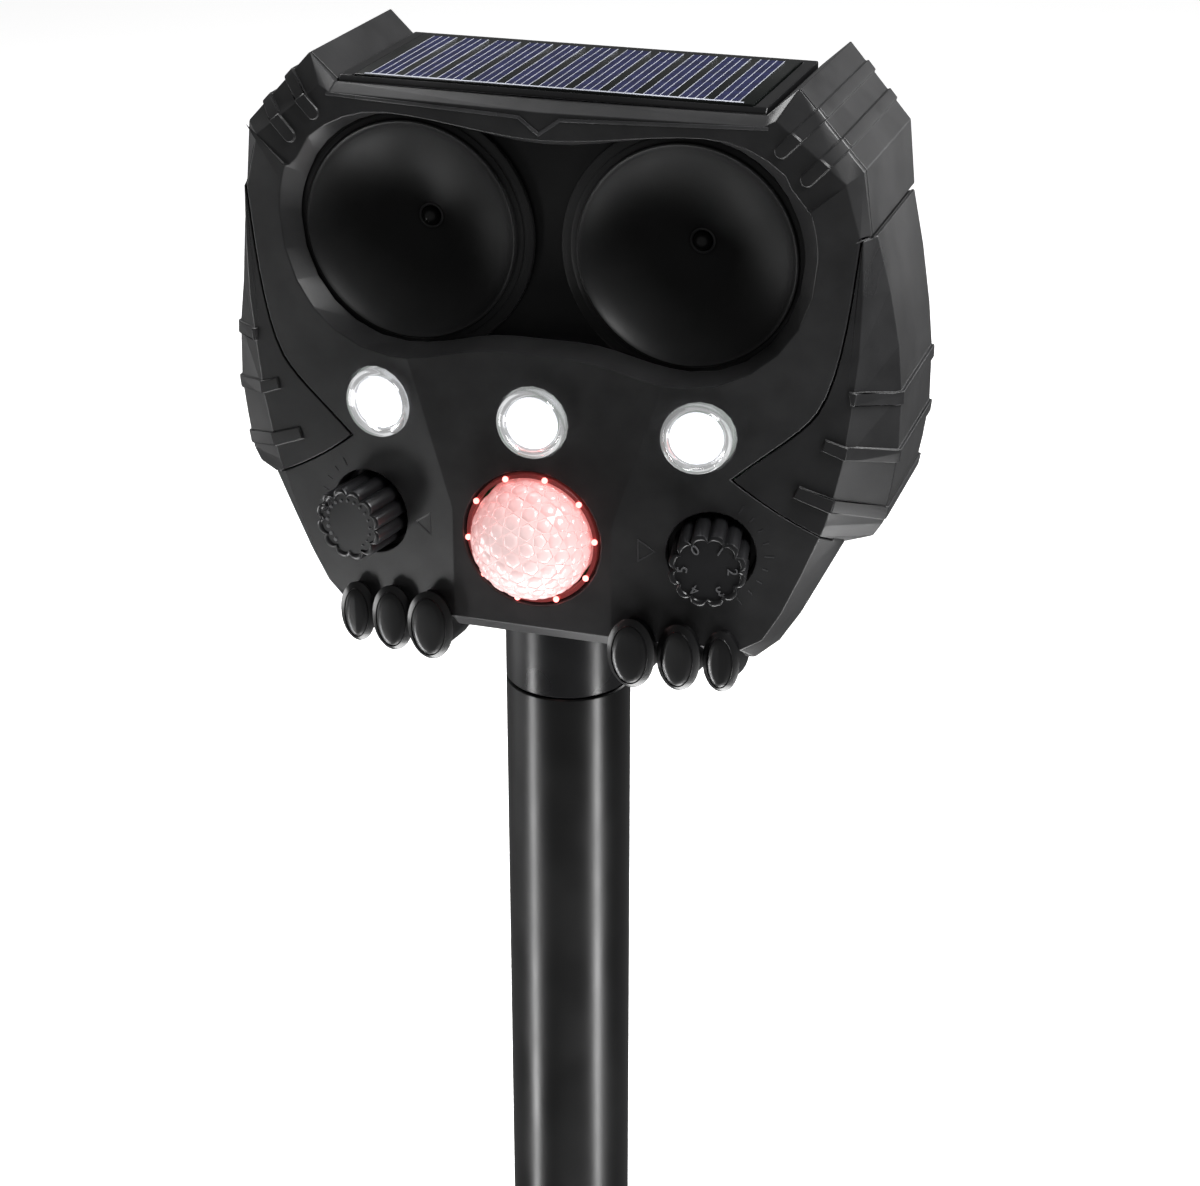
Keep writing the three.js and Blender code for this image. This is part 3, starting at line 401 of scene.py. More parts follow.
def board_finish():
    made = shader("board_green", (0.01, 0.09, 0.035), 0.35)
    principled = made.node_tree.nodes["Principled BSDF"]
    places = node(made, "ShaderNodeTexCoord")
    tracks = node(made, "ShaderNodeTexBrick", Scale=140.0)
    tracks.inputs["Color1"].default_value = (0.01, 0.09, 0.035, 1)
    tracks.inputs["Color2"].default_value = (0.012, 0.11, 0.042, 1)
    tracks.inputs["Mortar"].default_value = (0.05, 0.17, 0.05, 1)
    link(made, places.outputs["Object"], tracks.inputs["Vector"])
    link(made, tracks.outputs["Color"], principled.inputs["Base Color"])
    return made


cell_blue = cells_finish()
resin_black = moulded("panel_resin", (0.003, 0.004, 0.0036), 0.3, depth=0.01, level=0.25,
                      Coat_Weight=0.15, Coat_Roughness=0.1)
board_green = board_finish()
sleeve_green = moulded("cell_sleeve", (0.03, 0.16, 0.06), 0.3, depth=0.04, level=0.5)
print("all finishes:", len(bpy.data.materials))

# %% [markdown]
# ## Keeping a piece
# `keep` puts a finished bmesh into the scene: it turns the faces outwards, shades them smooth
# up to a crease angle, says which body the piece moves with and which finish it has, and hides
# the rough parts it stands for. Doing this in one place means that no piece is left without a
# body.

# %% Keeping a piece
def keep(name, bm, body, finish, stands_for=(), crease=32):
    bmesh.ops.recalc_face_normals(bm, faces=bm.faces)
    mesh = bpy.data.meshes.new(name)
    bm.to_mesh(mesh)
    bm.free()
    mesh.shade_smooth()
    mesh.set_sharp_from_angle(angle=math.radians(crease))
    mesh.materials.append(finish)
    made = bpy.data.objects.new(name, mesh)
    bpy.context.scene.collection.objects.link(made)
    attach(made, body)
    if stands_for:
        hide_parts(*stands_for)
    print(f"{name}: {len(mesh.polygons)} faces")
    return made


print("keep is ready")

# %% [markdown]
# ## Shaping helpers
# Most pieces here are turned or moulded. A turned piece is a profile spun about its axis, as on a
# lathe. A moulded one has a small radius on each edge, because a mould with knife edges can't be
# cut and the plastic wouldn't fill it. The helpers below do both, and carry a piece to its place.

# %% Shaping helpers
def soften(bm, width, segments=2, angle=30, crease_length=7):
    """Bevels the sharp edges, and the long shallow creases too, as a mould's radius does."""
    crisp = [edge for edge in bm.edges
             if len(edge.link_faces) == 2
             and (edge.calc_face_angle(0) > math.radians(angle)
                  or (edge.calc_face_angle(0) > math.radians(4)
                      and edge.calc_length() > crease_length * MM))]
    bmesh.ops.bevel(bm, geom=crisp, offset=width * MM, offset_type="OFFSET", affect="EDGES",
                    segments=segments, profile=0.5, material=-1, clamp_overlap=False,
                    loop_slide=True)


def spun(profile, steps, axis=(0, 1, 0)):
    """Spins a profile of (radius, along) pairs, in millimetres, round the Y or the Z axis."""
    bm = bmesh.new()
    along = Vector(axis)
    verts = [bm.verts.new((Vector((radius, 0, 0)) + along * reach) * MM)
             for radius, reach in profile]
    edges = [bm.edges.new(pair) for pair in zip(verts, verts[1:])]
    bmesh.ops.spin(bm, geom=verts + edges, cent=(0, 0, 0), axis=axis, dvec=(0, 0, 0),
                   angle=math.tau, steps=steps, use_merge=True, use_duplicate=False)
    bmesh.ops.remove_doubles(bm, verts=bm.verts, dist=0.001 * MM)
    bmesh.ops.recalc_face_normals(bm, faces=bm.faces)
    return bm


def middle(name):
    low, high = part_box(name)
    return (low + high) / 2


def place_at(bm, spot, turn=0.0):
    """Turns a piece about the vertical, then carries it to its spot."""
    bmesh.ops.rotate(bm, verts=bm.verts, cent=(0, 0, 0), matrix=Matrix.Rotation(turn, 3, "Z"))
    bmesh.ops.translate(bm, verts=bm.verts, vec=spot)


print("middle light at", tuple(round(part / MM, 1) for part in middle("middle_light_lens")))

# %% [markdown]
# ## The moulded case
# The case halves, the wings and the panel frame are faceted, and their shape is already right.
# What a real moulding adds is a small radius on every edge, which catches a thin line of light.
# So each is copied, its triangles are merged back into flat faces, and its crisp edges are
# bevelled. A weighted normal then keeps the broad faces flat beside their round edges.

# %% Case pieces
def moulded_copy(source, name, body, finish, radius=0.3, angle=24, crease_length=13):
    bm = bmesh.new()
    bm.from_mesh(nodes[source].data)
    bmesh.ops.remove_doubles(bm, verts=bm.verts, dist=0.03 * MM)
    bmesh.ops.dissolve_limit(bm, verts=bm.verts, edges=bm.edges,
                             angle_limit=math.radians(1.2))
    soften(bm, radius, 2, angle, crease_length)
    made = keep(name, bm, body, finish, [source], 40)
    flat = made.modifiers.new("flat_faces", "WEIGHTED_NORMAL")
    flat.keep_sharp = True
    flat.weight = 100


moulded_copy("front_shell", "face_moulding", "head", case_black, 0.25)
moulded_copy("rear_shell", "back_moulding", "head", case_black, 0.25)
for side in ("left", "right"):
    moulded_copy(f"{side}_wing", f"{side}_wing_moulding", "head", wing_black, 0.2,
                 crease_length=6)
moulded_copy("panel_frame", "panel_surround", "head", frame_black, 0.3)
moulded_copy("battery_door", "battery_lid", "head", case_black, 0.25)

# %% [markdown]
# ## Horn bowls
# A horn speaker is a stepped ring and a smooth bowl that narrows to a throat. All of it is round,
# so one profile is spun about the horn's axis. The top of the flange is cut flat to clear the
# case, as on the part it stands for, and the cut is closed again.

# %% Horn bowls
HORN_STEPS = 112
THROAT = [(0, 13.4), (2.2, 13.4), (2.3, 12.1)]
BOWL = [(2.4, 11.9), (3.2, 11.5), (5, 10.8), (8, 9.5), (11, 8.05), (14, 6.45), (17, 4.6),
        (19.4, 2.9), (21, 1.5), (21.7, 0.6)]
RIM = [(22.0, 0.15), (22.25, 0.0), (22.5, 0.05), (22.7, 0.3), (22.75, 0.7)]
STEP = [(23.7, 0.72), (23.95, 0.85), (24.0, 1.05), (25.6, 1.1), (25.9, 1.2), (26.0, 1.4),
        (26.0, 2.25), (24, 2.3)]
HORN_BACK = [(19, 5.8), (12.8, 9.6), (6.6, 12.3), (4, 14.9), (0, 14.9)]


def horn_bowl(side):
    low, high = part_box(f"{side}_horn")
    axis_spot = middle(f"{side}_horn_dome")
    bm = spun(THROAT + BOWL + RIM + STEP + HORN_BACK, HORN_STEPS)
    place_at(bm, Vector((axis_spot.x, low.y, axis_spot.z)))
    everything = bm.verts[:] + bm.edges[:] + bm.faces[:]
    bmesh.ops.bisect_plane(bm, geom=everything, plane_co=(0, 0, high.z), plane_no=(0, 0, 1),
                           clear_outer=True)
    bmesh.ops.holes_fill(bm, edges=[edge for edge in bm.edges if edge.is_boundary])
    keep(f"{side}_horn_bowl", bm, "head", horn_black, [f"{side}_horn"], 40)


for side in ("left", "right"):
    horn_bowl(side)

# %% [markdown]
# ## Horn centres and the plate between the horns
# A small polished ball closes the middle of each bowl and sits in a thin raised ring. Both are
# spun as well. The plate between the horns is flat and only needs a finish of its own.

# %% Horn centres
BALL_RADIUS = 1.9
THROAT_RING = [(2.1, 1.1), (2.15, 0.75), (2.4, 0.6), (2.65, 0.75), (2.7, 1.1), (2.1, 1.1)]


def ball_profile():
    """A half round towards the front, 12 steps, closed by a short neck behind."""
    turns = [math.radians(-84 + 7 * i) for i in range(13)]
    front = [(BALL_RADIUS * math.cos(turn), BALL_RADIUS * math.sin(turn)) for turn in turns]
    return [(0, -BALL_RADIUS)] + front + [(BALL_RADIUS, 1.0), (0, 1.0)]


def horn_centre(side):
    axis_spot = middle(f"{side}_horn_dome")
    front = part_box(f"{side}_horn_dome")[0].y
    bm = spun(ball_profile(), 40)
    place_at(bm, Vector((axis_spot.x, front + BALL_RADIUS * MM, axis_spot.z)))
    keep(f"{side}_horn_ball", bm, "head", claw_black, [f"{side}_horn_dome"])
    # The raised ring is lighter grey than the bowl, a painted highlight round the ball.
    bm = spun(THROAT_RING, 40)
    place_at(bm, Vector((axis_spot.x, front + 1.0 * MM, axis_spot.z)))
    keep(f"{side}_throat_ring", bm, "head", highlight_and_mark_grey)


for side in ("left", "right"):
    horn_centre(side)

nodes["horn_baffle"].data.materials.clear()
nodes["horn_baffle"].data.materials.append(baffle_black)

# %% [markdown]
# ## Lights
# A clear domed cap sits over a mirror cup with a lit emitter in it. The cap is a thin spun
# shell, so light bends at both of its faces and the rim shows as a bright ring. A solid lens
# would be quicker to make, but it would swell the lamp behind it and lose that ring.

# %% Lights
LENS_RADIUS = 7.2
LENS_PROUD = 4.2
LENS_BEHIND = 3.7
CAP_TOP = -LENS_PROUD
CAP_OUTSIDE = [(0, CAP_TOP), (2.4, CAP_TOP + 0.06), (4.4, CAP_TOP + 0.28), (5.8, CAP_TOP + 0.72),
               (6.7, CAP_TOP + 1.4), (7.1, CAP_TOP + 2.2), (LENS_RADIUS, CAP_TOP + 3),
               (LENS_RADIUS, 2.5), (LENS_RADIUS + 1.3, 2.5), (LENS_RADIUS + 1.3, LENS_BEHIND),
               (6, LENS_BEHIND)]
CAP_INSIDE = [(6.0, -1.2), (5.7, -2.0), (4.8, -2.75), (3.4, -3.2), (0, -3.35)]
CUP = [(3.0, 5.6), (4.4, 1.6), (5.2, -1.0), (5.6, -1.0), (5.65, 3.4), (3.9, 5.6), (3.0, 5.6)]
LAMP = [(0, -0.9), (2.4, -0.8), (4.2, -0.4), (4.9, 0.3), (4.6, 1.4), (2.5, 5.0), (2.5, 9), (0, 9)]
cheek_axis = Vector(joints["sensitivity_turn"]["axis"])
CHEEK_TURN = math.atan2(abs(cheek_axis.x), abs(cheek_axis.y))


def light(name, sign):
    """A cap, its mirror cup and its lamp, turned with the cheek on its side of the face."""
    turn = sign * CHEEK_TURN
    inward = Vector((-math.sin(turn), math.cos(turn), 0))
    length = LENS_PROUD + LENS_BEHIND
    spot = middle(f"{name}_lens") - inward * (length / 2 - LENS_PROUD) * MM
    bm = spun(CAP_OUTSIDE + CAP_INSIDE, 72)
    place_at(bm, spot, turn)
    keep(f"{name}_cap", bm, "head", clear_cap, [f"{name}_lens"], 50)
    bm = spun(CUP, 48)
    place_at(bm, spot, turn)
    keep(f"{name}_cup", bm, "head", mirror, [f"{name}_reflector"], 50)
    bm = spun(LAMP, 40)
    place_at(bm, spot, turn)
    keep(f"{name}_lamp", bm, "head", lamp_white, [f"{name}_emitter"], 50)


for name, sign in (("left_light", -1), ("middle_light", 0), ("right_light", 1)):
    light(name, sign)

# %% [markdown]
# ## Motion sensor dome
# The dome is moulded as many small hexagonal lenses. An icosphere has almost equal hexagons
# once the corners between its triangles are cut back, so its vertices are bevelled until they
# meet. Each cell is then sunk at its border and raised in its middle by a few insets.

# %% Sensor dome
DOME_RADIUS = 12.9
DOME_SKIRT = 2.6
dome_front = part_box("sensor_dome")[0].y
dome_centre = middle("alert_ring")


def sensor_dome():
    bm = bmesh.new()
    bmesh.ops.create_icosphere(bm, subdivisions=3, radius=(DOME_RADIUS - 0.1) * MM)
    bmesh.ops.bevel(bm, geom=bm.verts[:], offset=49, offset_type="PERCENT", affect="VERTICES",
                    segments=1, profile=0.5, material=-1, clamp_overlap=False)
    bmesh.ops.remove_doubles(bm, verts=bm.verts, dist=0.1 * MM)
    cells = [face for face in bm.faces if len(face.verts) >= 5]
    for inset, rise in ((0.16, -0.22), (0.16, 0.2), (0.32, 0.2), (0.5, 0.12)):
        bmesh.ops.inset_individual(bm, faces=cells, thickness=inset * MM, depth=rise * MM)
    bmesh.ops.rotate(bm, verts=bm.verts, cent=(0, 0, 0), matrix=Matrix.Rotation(0.35, 3, "Y"))
    everything = bm.verts[:] + bm.edges[:] + bm.faces[:]
    bmesh.ops.bisect_plane(bm, geom=everything, plane_co=(0, 0.4 * MM, 0), plane_no=(0, 1, 0),
                           clear_outer=True)
    rim = [edge for edge in bm.edges if edge.is_boundary]
    skirt = bmesh.ops.extrude_edge_only(bm, edges=rim)
    moved = [item for item in skirt["geom"] if isinstance(item, bmesh.types.BMVert)]
    bmesh.ops.translate(bm, verts=moved, vec=(0, DOME_SKIRT * MM, 0))
    bmesh.ops.holes_fill(bm, edges=[edge for edge in bm.edges if edge.is_boundary])
    bmesh.ops.translate(bm, verts=bm.verts, vec=alert_spot)
    keep("dome_lens", bm, "head", dome_pink, ["sensor_dome"], 60)


alert_spot = Vector((dome_centre.x, dome_front + DOME_RADIUS * MM, dome_centre.z))
sensor_dome()

# %% [markdown]
# ## Alert lights
# Ten tiny red lights stand round the foot of the dome in a dark red gutter, which has a faint
# painted red glow standing for their light on it. The lights are small spheres joined in one
# mesh, since they never move apart, and the gutter is a spun ring.

# %% Alert lights
ALERT_LIGHTS = 10
ALERT_RADIUS = 13.65
BEAD_RADIUS = 0.62
GUTTER = [(13.25, -1.0), (14.0, -1.0), (14.1, -0.8), (14.1, 2.8), (13.25, 2.8), (13.25, -1.0)]

bm = bmesh.new()
for i in range(ALERT_LIGHTS):
    angle = math.radians(5 + 360 / ALERT_LIGHTS * i)
    made = bmesh.ops.create_icosphere(bm, subdivisions=3, radius=BEAD_RADIUS * MM)
    spot = Vector((math.cos(angle) * ALERT_RADIUS * MM, -1.35 * MM,
                   math.sin(angle) * ALERT_RADIUS * MM))
    bmesh.ops.translate(bm, verts=made["verts"], vec=spot)
bmesh.ops.translate(bm, verts=bm.verts, vec=alert_spot)
keep("alert_beads", bm, "head", alert_red, ["alert_ring"])

bm = spun(GUTTER, 96)
bmesh.ops.translate(bm, verts=bm.verts, vec=alert_spot)
keep("alert_gutter", bm, "head", painted_red_glow, crease=40)

# %% [markdown]
# ## Knob drums
# Each knob is a drum with twelve flutes for the fingers, a rounded shoulder and a shallow dish
# in its top. A circle is extruded ring by ring, and each ring is pulled to its own radius and
# flute depth. Cutting twelve grooves out of a cylinder would leave sharp, uneven edges.

# %% Knob drums
KNOB_FLUTES = 12
KNOB_RADIUS = 7.9
KNOB_PROUD = 8.6
KNOB_DEPTH = 12.2
# Each ring: how far in from the outer radius, how deep the flutes are, how far behind the face.
KNOB_RINGS = ((0, 0.16, KNOB_DEPTH), (0, 0.16, 0.5), (0.15, 0.155, 0.15), (0.5, 0.145, 0),
              (0.95, 0.13, 0), (1.15, 0.12, 0.12), (1.3, 0.11, 0.4), (6.9, 0.0, 0.4))


def fluted(angle, radius, depth):
    """The radius of a fluted ring at an angle: twelve round lobes with narrow grooves."""
    lobe = abs(math.sin(angle * KNOB_FLUTES / 2))
    return radius * (1 - depth * (1 - lobe) ** 1.6)


def knob_drum():
    """Rings from the back of the drum to the middle of its dished face."""
    bm = bmesh.new()
    bmesh.ops.create_circle(bm, cap_ends=True, segments=KNOB_FLUTES * 14, radius=MM)
    front = bm.faces[:][0]
    turns = [math.atan2(vert.co.y, vert.co.x) for vert in front.verts]
    for number, (inset, depth, behind) in enumerate(KNOB_RINGS):
        if number:
            front = bmesh.ops.extrude_discrete_faces(bm, faces=[front])["faces"][0]
            turns = [math.atan2(vert.co.z, vert.co.x) for vert in front.verts]
        for vert, turn in zip(front.verts, turns):
            wide = fluted(turn, KNOB_RADIUS - inset, depth) * MM
            vert.co = (math.cos(turn) * wide, (behind - KNOB_PROUD) * MM, math.sin(turn) * wide)
    bmesh.ops.holes_fill(bm, edges=[edge for edge in bm.edges if edge.is_boundary])
    return bm


def dial_place(side, name):
    """A dial's spot and its turn, from the joint it turns on."""
    turn = (-1 if side == "left" else 1) * CHEEK_TURN
    return Vector(joints[f"{name}_turn"]["pos_m"]), turn


for side, name in (("left", "sensitivity"), ("right", "frequency")):
    bm = knob_drum()
    place_at(bm, *dial_place(side, name))
    keep(f"{name}_dial", bm, f"{name}_dial", knob_black, [f"{name}_knob"], 38)

# %% [markdown]
# ## Marks on the knobs
# The dished face carries generic marks: dots that grow on one knob, the digits 0 to 5 on the
# other. Dots are short cones. A digit starts as a text curve with a little thickness and is made
# a mesh before it is placed. Real raised marks catch light at their edges, and paint wouldn't.

# %% Marks on the knobs
MARK_FACE = -(KNOB_PROUD - 0.3) * MM
DOTS = 17
DOT_REACH = 5.2
DIGITS = 6
DIGIT_REACH = 4.9


def mark_disc(bm, spot, radius, height):
    """A little raised disc on the knob's face."""
    made = bmesh.ops.create_cone(bm, cap_ends=True, segments=16, radius1=radius * MM,
                                 radius2=radius * 0.8 * MM, depth=height * MM)
    bmesh.ops.rotate(bm, verts=made["verts"], cent=(0, 0, 0),
                     matrix=Matrix.Rotation(math.pi / 2, 3, "X"))
    bmesh.ops.translate(bm, verts=made["verts"], vec=spot)


def digit(character, size):
    """A raised digit as a mesh in the plane of the knob's face, facing -Y."""
    curve = bpy.data.curves.new("digit", "FONT")
    curve.body = character
    curve.size = size * MM
    curve.extrude = 0.14 * MM
    curve.align_x = "CENTER"
    curve.align_y = "CENTER"
    holder = bpy.data.objects.new("digit", curve)
    bpy.context.scene.collection.objects.link(holder)
    bpy.context.view_layer.update()
    evaluated = holder.evaluated_get(bpy.context.evaluated_depsgraph_get())
    mesh = bpy.data.meshes.new_from_object(evaluated)
    mesh.transform(Matrix.Rotation(math.pi / 2, 4, "X"))
    bpy.data.objects.remove(holder)
    bpy.data.curves.remove(curve)
    return mesh


def on_dial(angle, reach):
    """A point on the dished face, at an angle and a distance from the middle."""
    return Vector((math.cos(angle) * reach * MM, MARK_FACE, math.sin(angle) * reach * MM))


dots = bmesh.new()
for i in range(DOTS):
    angle = math.radians(-50 + 280 / (DOTS - 1) * i)
    mark_disc(dots, on_dial(angle, DOT_REACH), 0.2 + 0.018 * i, 0.34)

digits = bmesh.new()
for i in range(DIGITS):
    angle = math.radians(90 - 360 / DIGITS * i + 30)
    mesh = digit(str(i), 3.0)
    mesh.transform(Matrix.Rotation(math.pi / 2 - angle, 4, "Y"))
    mesh.transform(Matrix.Translation(on_dial(angle, DIGIT_REACH)))
    digits.from_mesh(mesh)
    bpy.data.meshes.remove(mesh)

for side, name, marks in (("left", "sensitivity", dots), ("right", "frequency", digits)):
    place_at(marks, *dial_place(side, name))
    keep(f"{name}_marks", marks, f"{name}_dial", mark_grey, crease=30)

# %% [markdown]
# ## Feet
# Three polished oval claws grip the chin on each side. Each is an ellipse with a crowned front
# and a broad rounded edge, extruded back past the case. It is built ring by ring, as the knobs
# are, because a squashed sphere would have no flat crown and no clear edge.

# %% Feet
# Each claw: its middle across and up from the middle light, half its width, half its height and
# where its face stands. All are mirrored for the other foot.
CLAWS = ((21.9, -46.4, 5.1, 7.7, -4.3), (31.3, -47.1, 4.65, 7.4, -1.9),
         (39.9, -47.5, 3.95, 6.8, -0.2))
CLAW_BACK = 9
CLAW_EDGE = 1.25
light_middle = middle("middle_light_lens")
HEAD_X, HEAD_Z = light_middle.x, light_middle.z
HEAD_Y = dome_front + DOME_RADIUS * MM


def in_head(x, y, z):
    """A point of the head, in millimetres from the middle light and the face."""
    return Vector((HEAD_X + x * MM, HEAD_Y + y * MM, HEAD_Z + z * MM))


def claw(wide, high, length):
    """An oval bar with a broad rounded lip and a crowned face, its face towards -Y."""
    bm = bmesh.new()
    bmesh.ops.create_circle(bm, cap_ends=True, segments=72, radius=MM)
    turns = [math.radians(10 * i) for i in range(9, -1, -1)]
    lip = [(CLAW_EDGE * (1 - math.sin(turn)), CLAW_EDGE * (1 - math.cos(turn)))
           for turn in turns]
    rings = [(0, length)] + [(CLAW_EDGE - inset, CLAW_EDGE - reach) for inset, reach in lip]
    rings += [(1.8, -0.12), (2.6, -0.22), (3.3, -0.28), (wide * 0.9, -0.31)]
    front = bm.faces[:][0]
    turns = [math.atan2(vert.co.y, vert.co.x) for vert in front.verts]
    for number, (inset, reach) in enumerate(rings):
        if number:
            front = bmesh.ops.extrude_discrete_faces(bm, faces=[front])["faces"][0]
            turns = [math.atan2(vert.co.z / high, vert.co.x / wide) for vert in front.verts]
        for vert, turn in zip(front.verts, turns):
            vert.co = (math.cos(turn) * (wide - inset) * MM, reach * MM,
                       math.sin(turn) * (high - inset) * MM)
    bmesh.ops.holes_fill(bm, edges=[edge for edge in bm.edges if edge.is_boundary])
    return bm


for side, sign in (("left", -1), ("right", 1)):
    bm = bmesh.new()
    for x, z, wide, high, front in CLAWS:
        piece = claw(wide, high, CLAW_BACK - front)
        bmesh.ops.translate(piece, verts=piece.verts, vec=in_head(sign * x, front, z))
        shell = bpy.data.meshes.new("claw")
        piece.to_mesh(shell)
        piece.free()
        bm.from_mesh(shell)
        bpy.data.meshes.remove(shell)
    keep(f"{side}_claws", bm, "head", claw_black, [f"{side}_foot"], 60)

# %% [markdown]
# ## Raised lines on the face
# Fine raised lines on the case are narrow bars, each a stretched cube laid on the surface. To
# find the surface, a ray is sent at the front of the case from in front of it, so a line follows
# the slope of the face. The first of them is the brow, which dips to a point between the eyes.

# %% Raised lines and the brow
def bar(bm, start, end, width, height):
    """A raised bar from start to end, lying on a surface that faces -Y."""
    along = (end - start).normalized()
    outward = Vector((0, -1, 0))
    outward = (outward - along * outward.dot(along)).normalized()
    across = along.cross(outward)
    verts = bmesh.ops.create_cube(bm, size=1)["verts"]
    bmesh.ops.scale(bm, verts=verts, vec=((end - start).length + width * MM * 0.6, width * MM,
                                          height * MM))
    frame_of_bar = Matrix((along, across, outward)).transposed()
    bmesh.ops.rotate(bm, verts=verts, cent=(0, 0, 0), matrix=frame_of_bar)
    bmesh.ops.translate(bm, verts=verts, vec=(start + end) / 2)


face_bm = bmesh.new()
face_bm.from_mesh(nodes["front_shell"].data)
face_surface = BVHTree.FromBMesh(face_bm)
face_bm.free()


def on_face(x, z):
    """The point of the case front straight behind a point in front of the head."""
    start = in_head(x, -60, z)
    return face_surface.ray_cast(start, Vector((0, 1, 0)))[0]


def path_of_bars(bm, points, width, height):
    """Bars along a path of (x, z) points, their ends on the surface."""
    for first, last in zip(points, points[1:]):
        bar(bm, on_face(*first), on_face(*last), width, height)


# The brow line is lighter grey than the case, a painted highlight along the edge of the brow.
BROW = ((-45, 61.6), (-4.2, 60.4), (0, 57.4), (4.2, 60.4), (45, 61.6))
bm = bmesh.new()
path_of_bars(bm, BROW, 0.7, 0.3)
soften(bm, 0.1, 2)
keep("brow_line", bm, "head", highlight_and_mark_grey)

# %% [markdown]
# ## Pointers and scales
# Beside each knob an outlined triangle points at the dial, and a fan of short ticks, every
# fourth one longer, stands in for its scale. Their places follow from the joint of the dial, so
# they stay with the knob if it moves.

# %% Pointers and scales
TICKS = 9
LINE_WIDE = 0.3
TICK_WIDE = 0.28
LINE_HIGH = 0.14
dial_spot = Vector(joints["frequency_turn"]["pos_m"])
DIAL_X = dial_spot.x / MM
DIAL_Z = (dial_spot.z - HEAD_Z) / MM

bm = bmesh.new()
for sign in (-1, 1):
    tip = (sign * 25.7, DIAL_Z)
    path_of_bars(bm, (tip, (sign * 22.4, DIAL_Z + 2.4), (sign * 22.4, DIAL_Z - 2.3), tip),
                 LINE_WIDE, LINE_HIGH)
keep("dial_pointers", bm, "head", highlight_and_mark_grey)

bm = bmesh.new()
for sign in (-1, 1):
    for i in range(TICKS):
        angle = math.radians(-60 + 120 * i / (TICKS - 1)) + (math.pi if sign < 0 else 0)
        inner, outer = 10.6, 11.7 + 0.7 * (i % 4 == 0)
        spokes = [(sign * DIAL_X + math.cos(angle) * reach, DIAL_Z + math.sin(angle) * reach)
                  for reach in (inner, outer)]
        path_of_bars(bm, spokes, TICK_WIDE, LINE_HIGH)
keep("dial_ticks", bm, "head", highlight_and_mark_grey)

# %% [markdown]
# ## Solar panel
# Strips of silicon lie side by side under clear resin, each with thin silver lines that collect
# the current, and one wide silver line joins them along the front. The slab keeps its place;
# strips and lines are thin boxes laid on it by a loop.

# %% Solar panel
def thin_box(bm, low, high):
    made = bmesh.ops.create_cube(bm, size=1)
    low, high = Vector(low), Vector(high)
    bmesh.ops.scale(bm, verts=made["verts"], vec=high - low)
    bmesh.ops.translate(bm, verts=made["verts"], vec=(low + high) / 2)


STRIPS = 11
EDGE_GAP = 2.0 * MM
HALF_LINE = 0.065 * MM
panel_low, panel_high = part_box("solar_panel")
top = panel_high.z
cells_low = Vector((panel_low.x + EDGE_GAP, panel_low.y + 0.3 * MM, top))
cells_high = Vector((panel_high.x - EDGE_GAP, panel_high.y - 1.5 * MM, top))
pitch = (cells_high.x - cells_low.x) / STRIPS
strip = pitch * 0.7
slab = bmesh.new()
thin_box(slab, panel_low, panel_high)
soften(slab, 0.3)
keep("panel_resin", slab, "head", resin_black, ["solar_panel"])
strips, lines = bmesh.new(), bmesh.new()
for i in range(STRIPS):
    left = cells_low.x + pitch * i + (pitch - strip) / 2
    thin_box(strips, (left, cells_low.y, top - 0.05 * MM),
             (left + strip, cells_high.y, top + 0.02 * MM))
    for j in range(4):
        at = left + strip * j / 3
        thin_box(lines, (at - HALF_LINE, cells_low.y, top),
                 (at + HALF_LINE, cells_high.y, top + 0.05 * MM))
thin_box(lines, (cells_low.x, cells_low.y - 0.05 * MM, top),
         (cells_high.x, cells_low.y + 0.75 * MM, top + 0.07 * MM))
keep("panel_cells", strips, "head", cell_blue)
keep("panel_lines", lines, "head", silver)

# %% [markdown]
# ## Pole
# The pole is a painted steel tube. Its wall is spun in one go, inside and outside, with a small
# rounded lip at each end. The lip makes the joint with the neck read as a fine dark line, which
# two plain cylinders that only touch would not show.

# %% Pole
POLE_RADIUS = 13.5
WALL = 1.3
BORE = POLE_RADIUS - WALL
LIP = 0.3
tube_low, tube_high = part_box("pole_tube")
tube_length = (tube_high.z - tube_low.z) / MM
tube_profile = [(BORE, 0.2), (BORE + 0.2, 0), (POLE_RADIUS - LIP, 0), (POLE_RADIUS, LIP),
                (POLE_RADIUS, tube_length - LIP), (POLE_RADIUS - LIP, tube_length),
                (BORE + 0.2, tube_length), (BORE, tube_length - 0.2), (BORE, 0.2)]
bm = spun(tube_profile, 128, (0, 0, 1))
bmesh.ops.translate(bm, verts=bm.verts, vec=(0, 0, tube_low.z))
keep("tube", bm, "pole", pole_black, ["pole_tube"], 40)

# %% [markdown]
# ## Neck and spike
# The neck is a moulded collar as wide as the pole, with a plug that goes down into the tube and a
# pin that goes up into the head. It is turned, so it is spun too. The spike is faceted and keeps
# its shape, with softened edges.

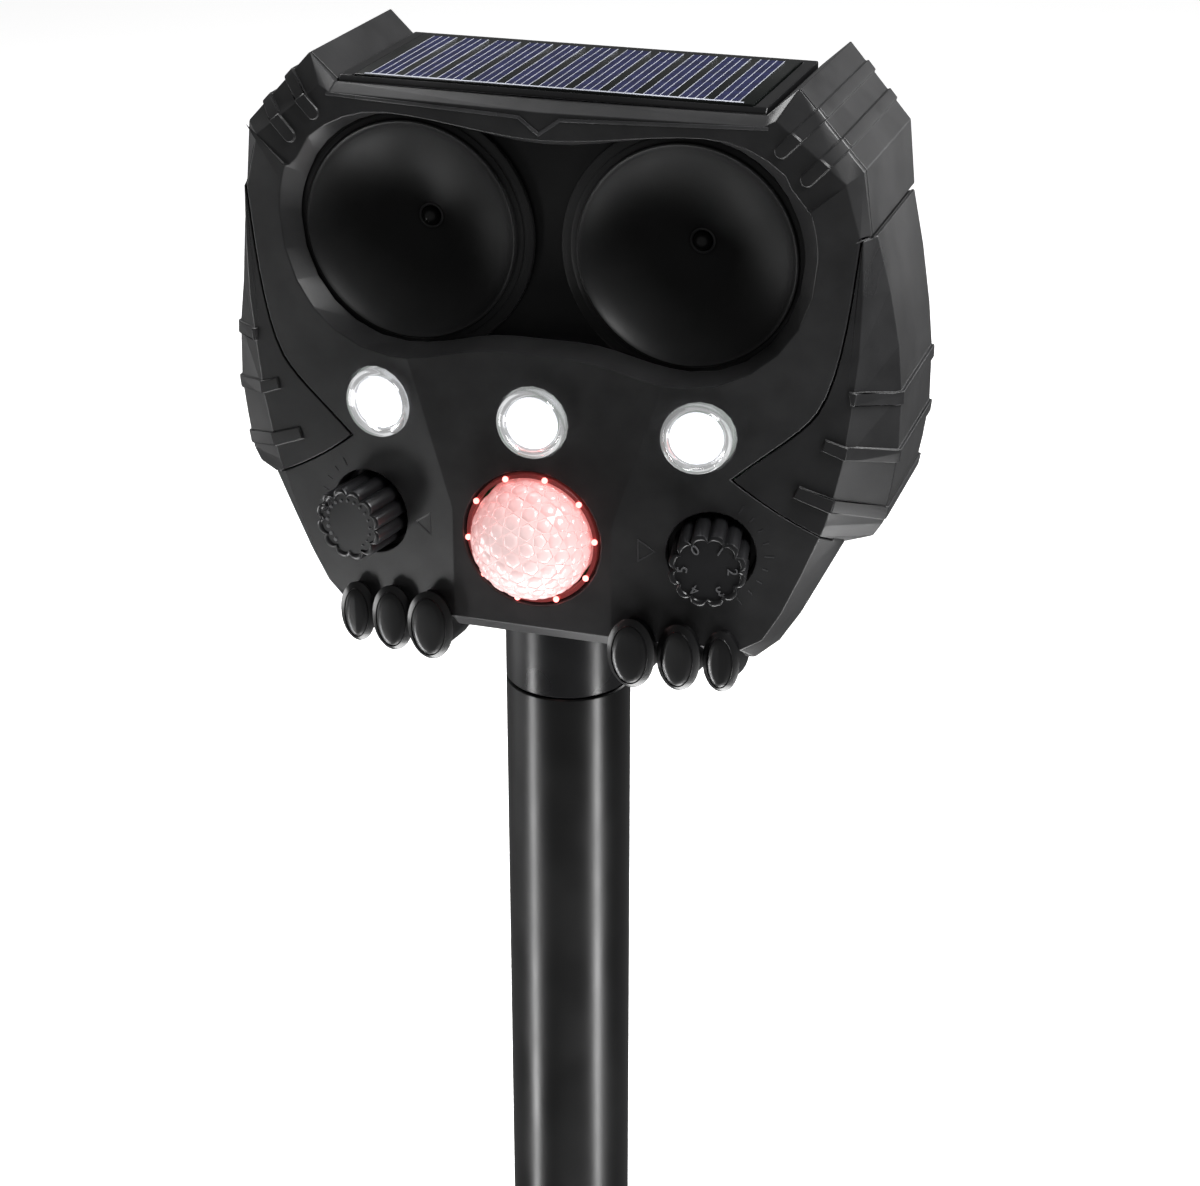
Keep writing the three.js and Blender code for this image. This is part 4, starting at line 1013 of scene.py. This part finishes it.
# %% Neck and spike
neck_low, neck_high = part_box("neck_collar")
plug_low = neck_low.z / MM
pin_high = neck_high.z / MM
collar_low = tube_high.z / MM + 0.3
collar_high = pin_high - 5.5
PLUG_RADIUS = BORE - 0.3
collar_profile = [(0, plug_low), (PLUG_RADIUS - 0.8, plug_low), (PLUG_RADIUS, plug_low + 1),
                  (PLUG_RADIUS, collar_low), (POLE_RADIUS - 0.4, collar_low),
                  (POLE_RADIUS, collar_low + 0.4), (POLE_RADIUS, collar_high - 0.4),
                  (POLE_RADIUS - 0.4, collar_high), (8, collar_high), (8, pin_high),
                  (0, pin_high)]
bm = spun(collar_profile, 128, (0, 0, 1))
keep("collar", bm, "head", collar_black, ["neck_collar"], 40)
moulded_copy("ground_spike", "stake", "pole", collar_black, 0.35, 30)

# %% [markdown]
# ## Small parts on the back
# Screws, the rubber button and the flap over the charging port are moulded or pressed, so they
# get the same softened edges as the case. The button and the flap ride on bodies of their own,
# because one is pressed and the other swings.

# %% Small parts
SCREWS = ("case_screw_1", "case_screw_2", "case_screw_3", "case_screw_4", "door_screw_1",
          "door_screw_2")
for source in SCREWS:
    moulded_copy(source, f"{source}_plated", "head", steel, 0.12, 40)
moulded_copy("power_button", "button", "button_cap", rubber_black, 0.2, 30)
moulded_copy("usb_flap", "flap", "port_flap", rubber_black, 0.25, 30)

# %% [markdown]
# ## Hidden parts
# Parts inside the case are seen only when it is taken apart or the flap is open. Their plain
# shape is right, so they stay as they are and only get the finish of what they are made of.

# %% Hidden parts
FINISHES = {
    "left_horn_driver": steel, "right_horn_driver": steel, "motion_sensor": steel,
    "sensitivity_shaft": steel, "frequency_shaft": steel, "sensitivity_potentiometer": steel,
    "frequency_selector": steel, "usb_socket": steel, "neck_nut": steel,
    "main_board": board_green, "battery_cell_1": sleeve_green, "battery_cell_2": sleeve_green,
    "battery_tray": tray_black, "power_switch": white_plastic,
}
for name, finish in FINISHES.items():
    nodes[name].data.materials.clear()
    nodes[name].data.materials.append(finish)
print("hidden parts finished:", len(FINISHES))
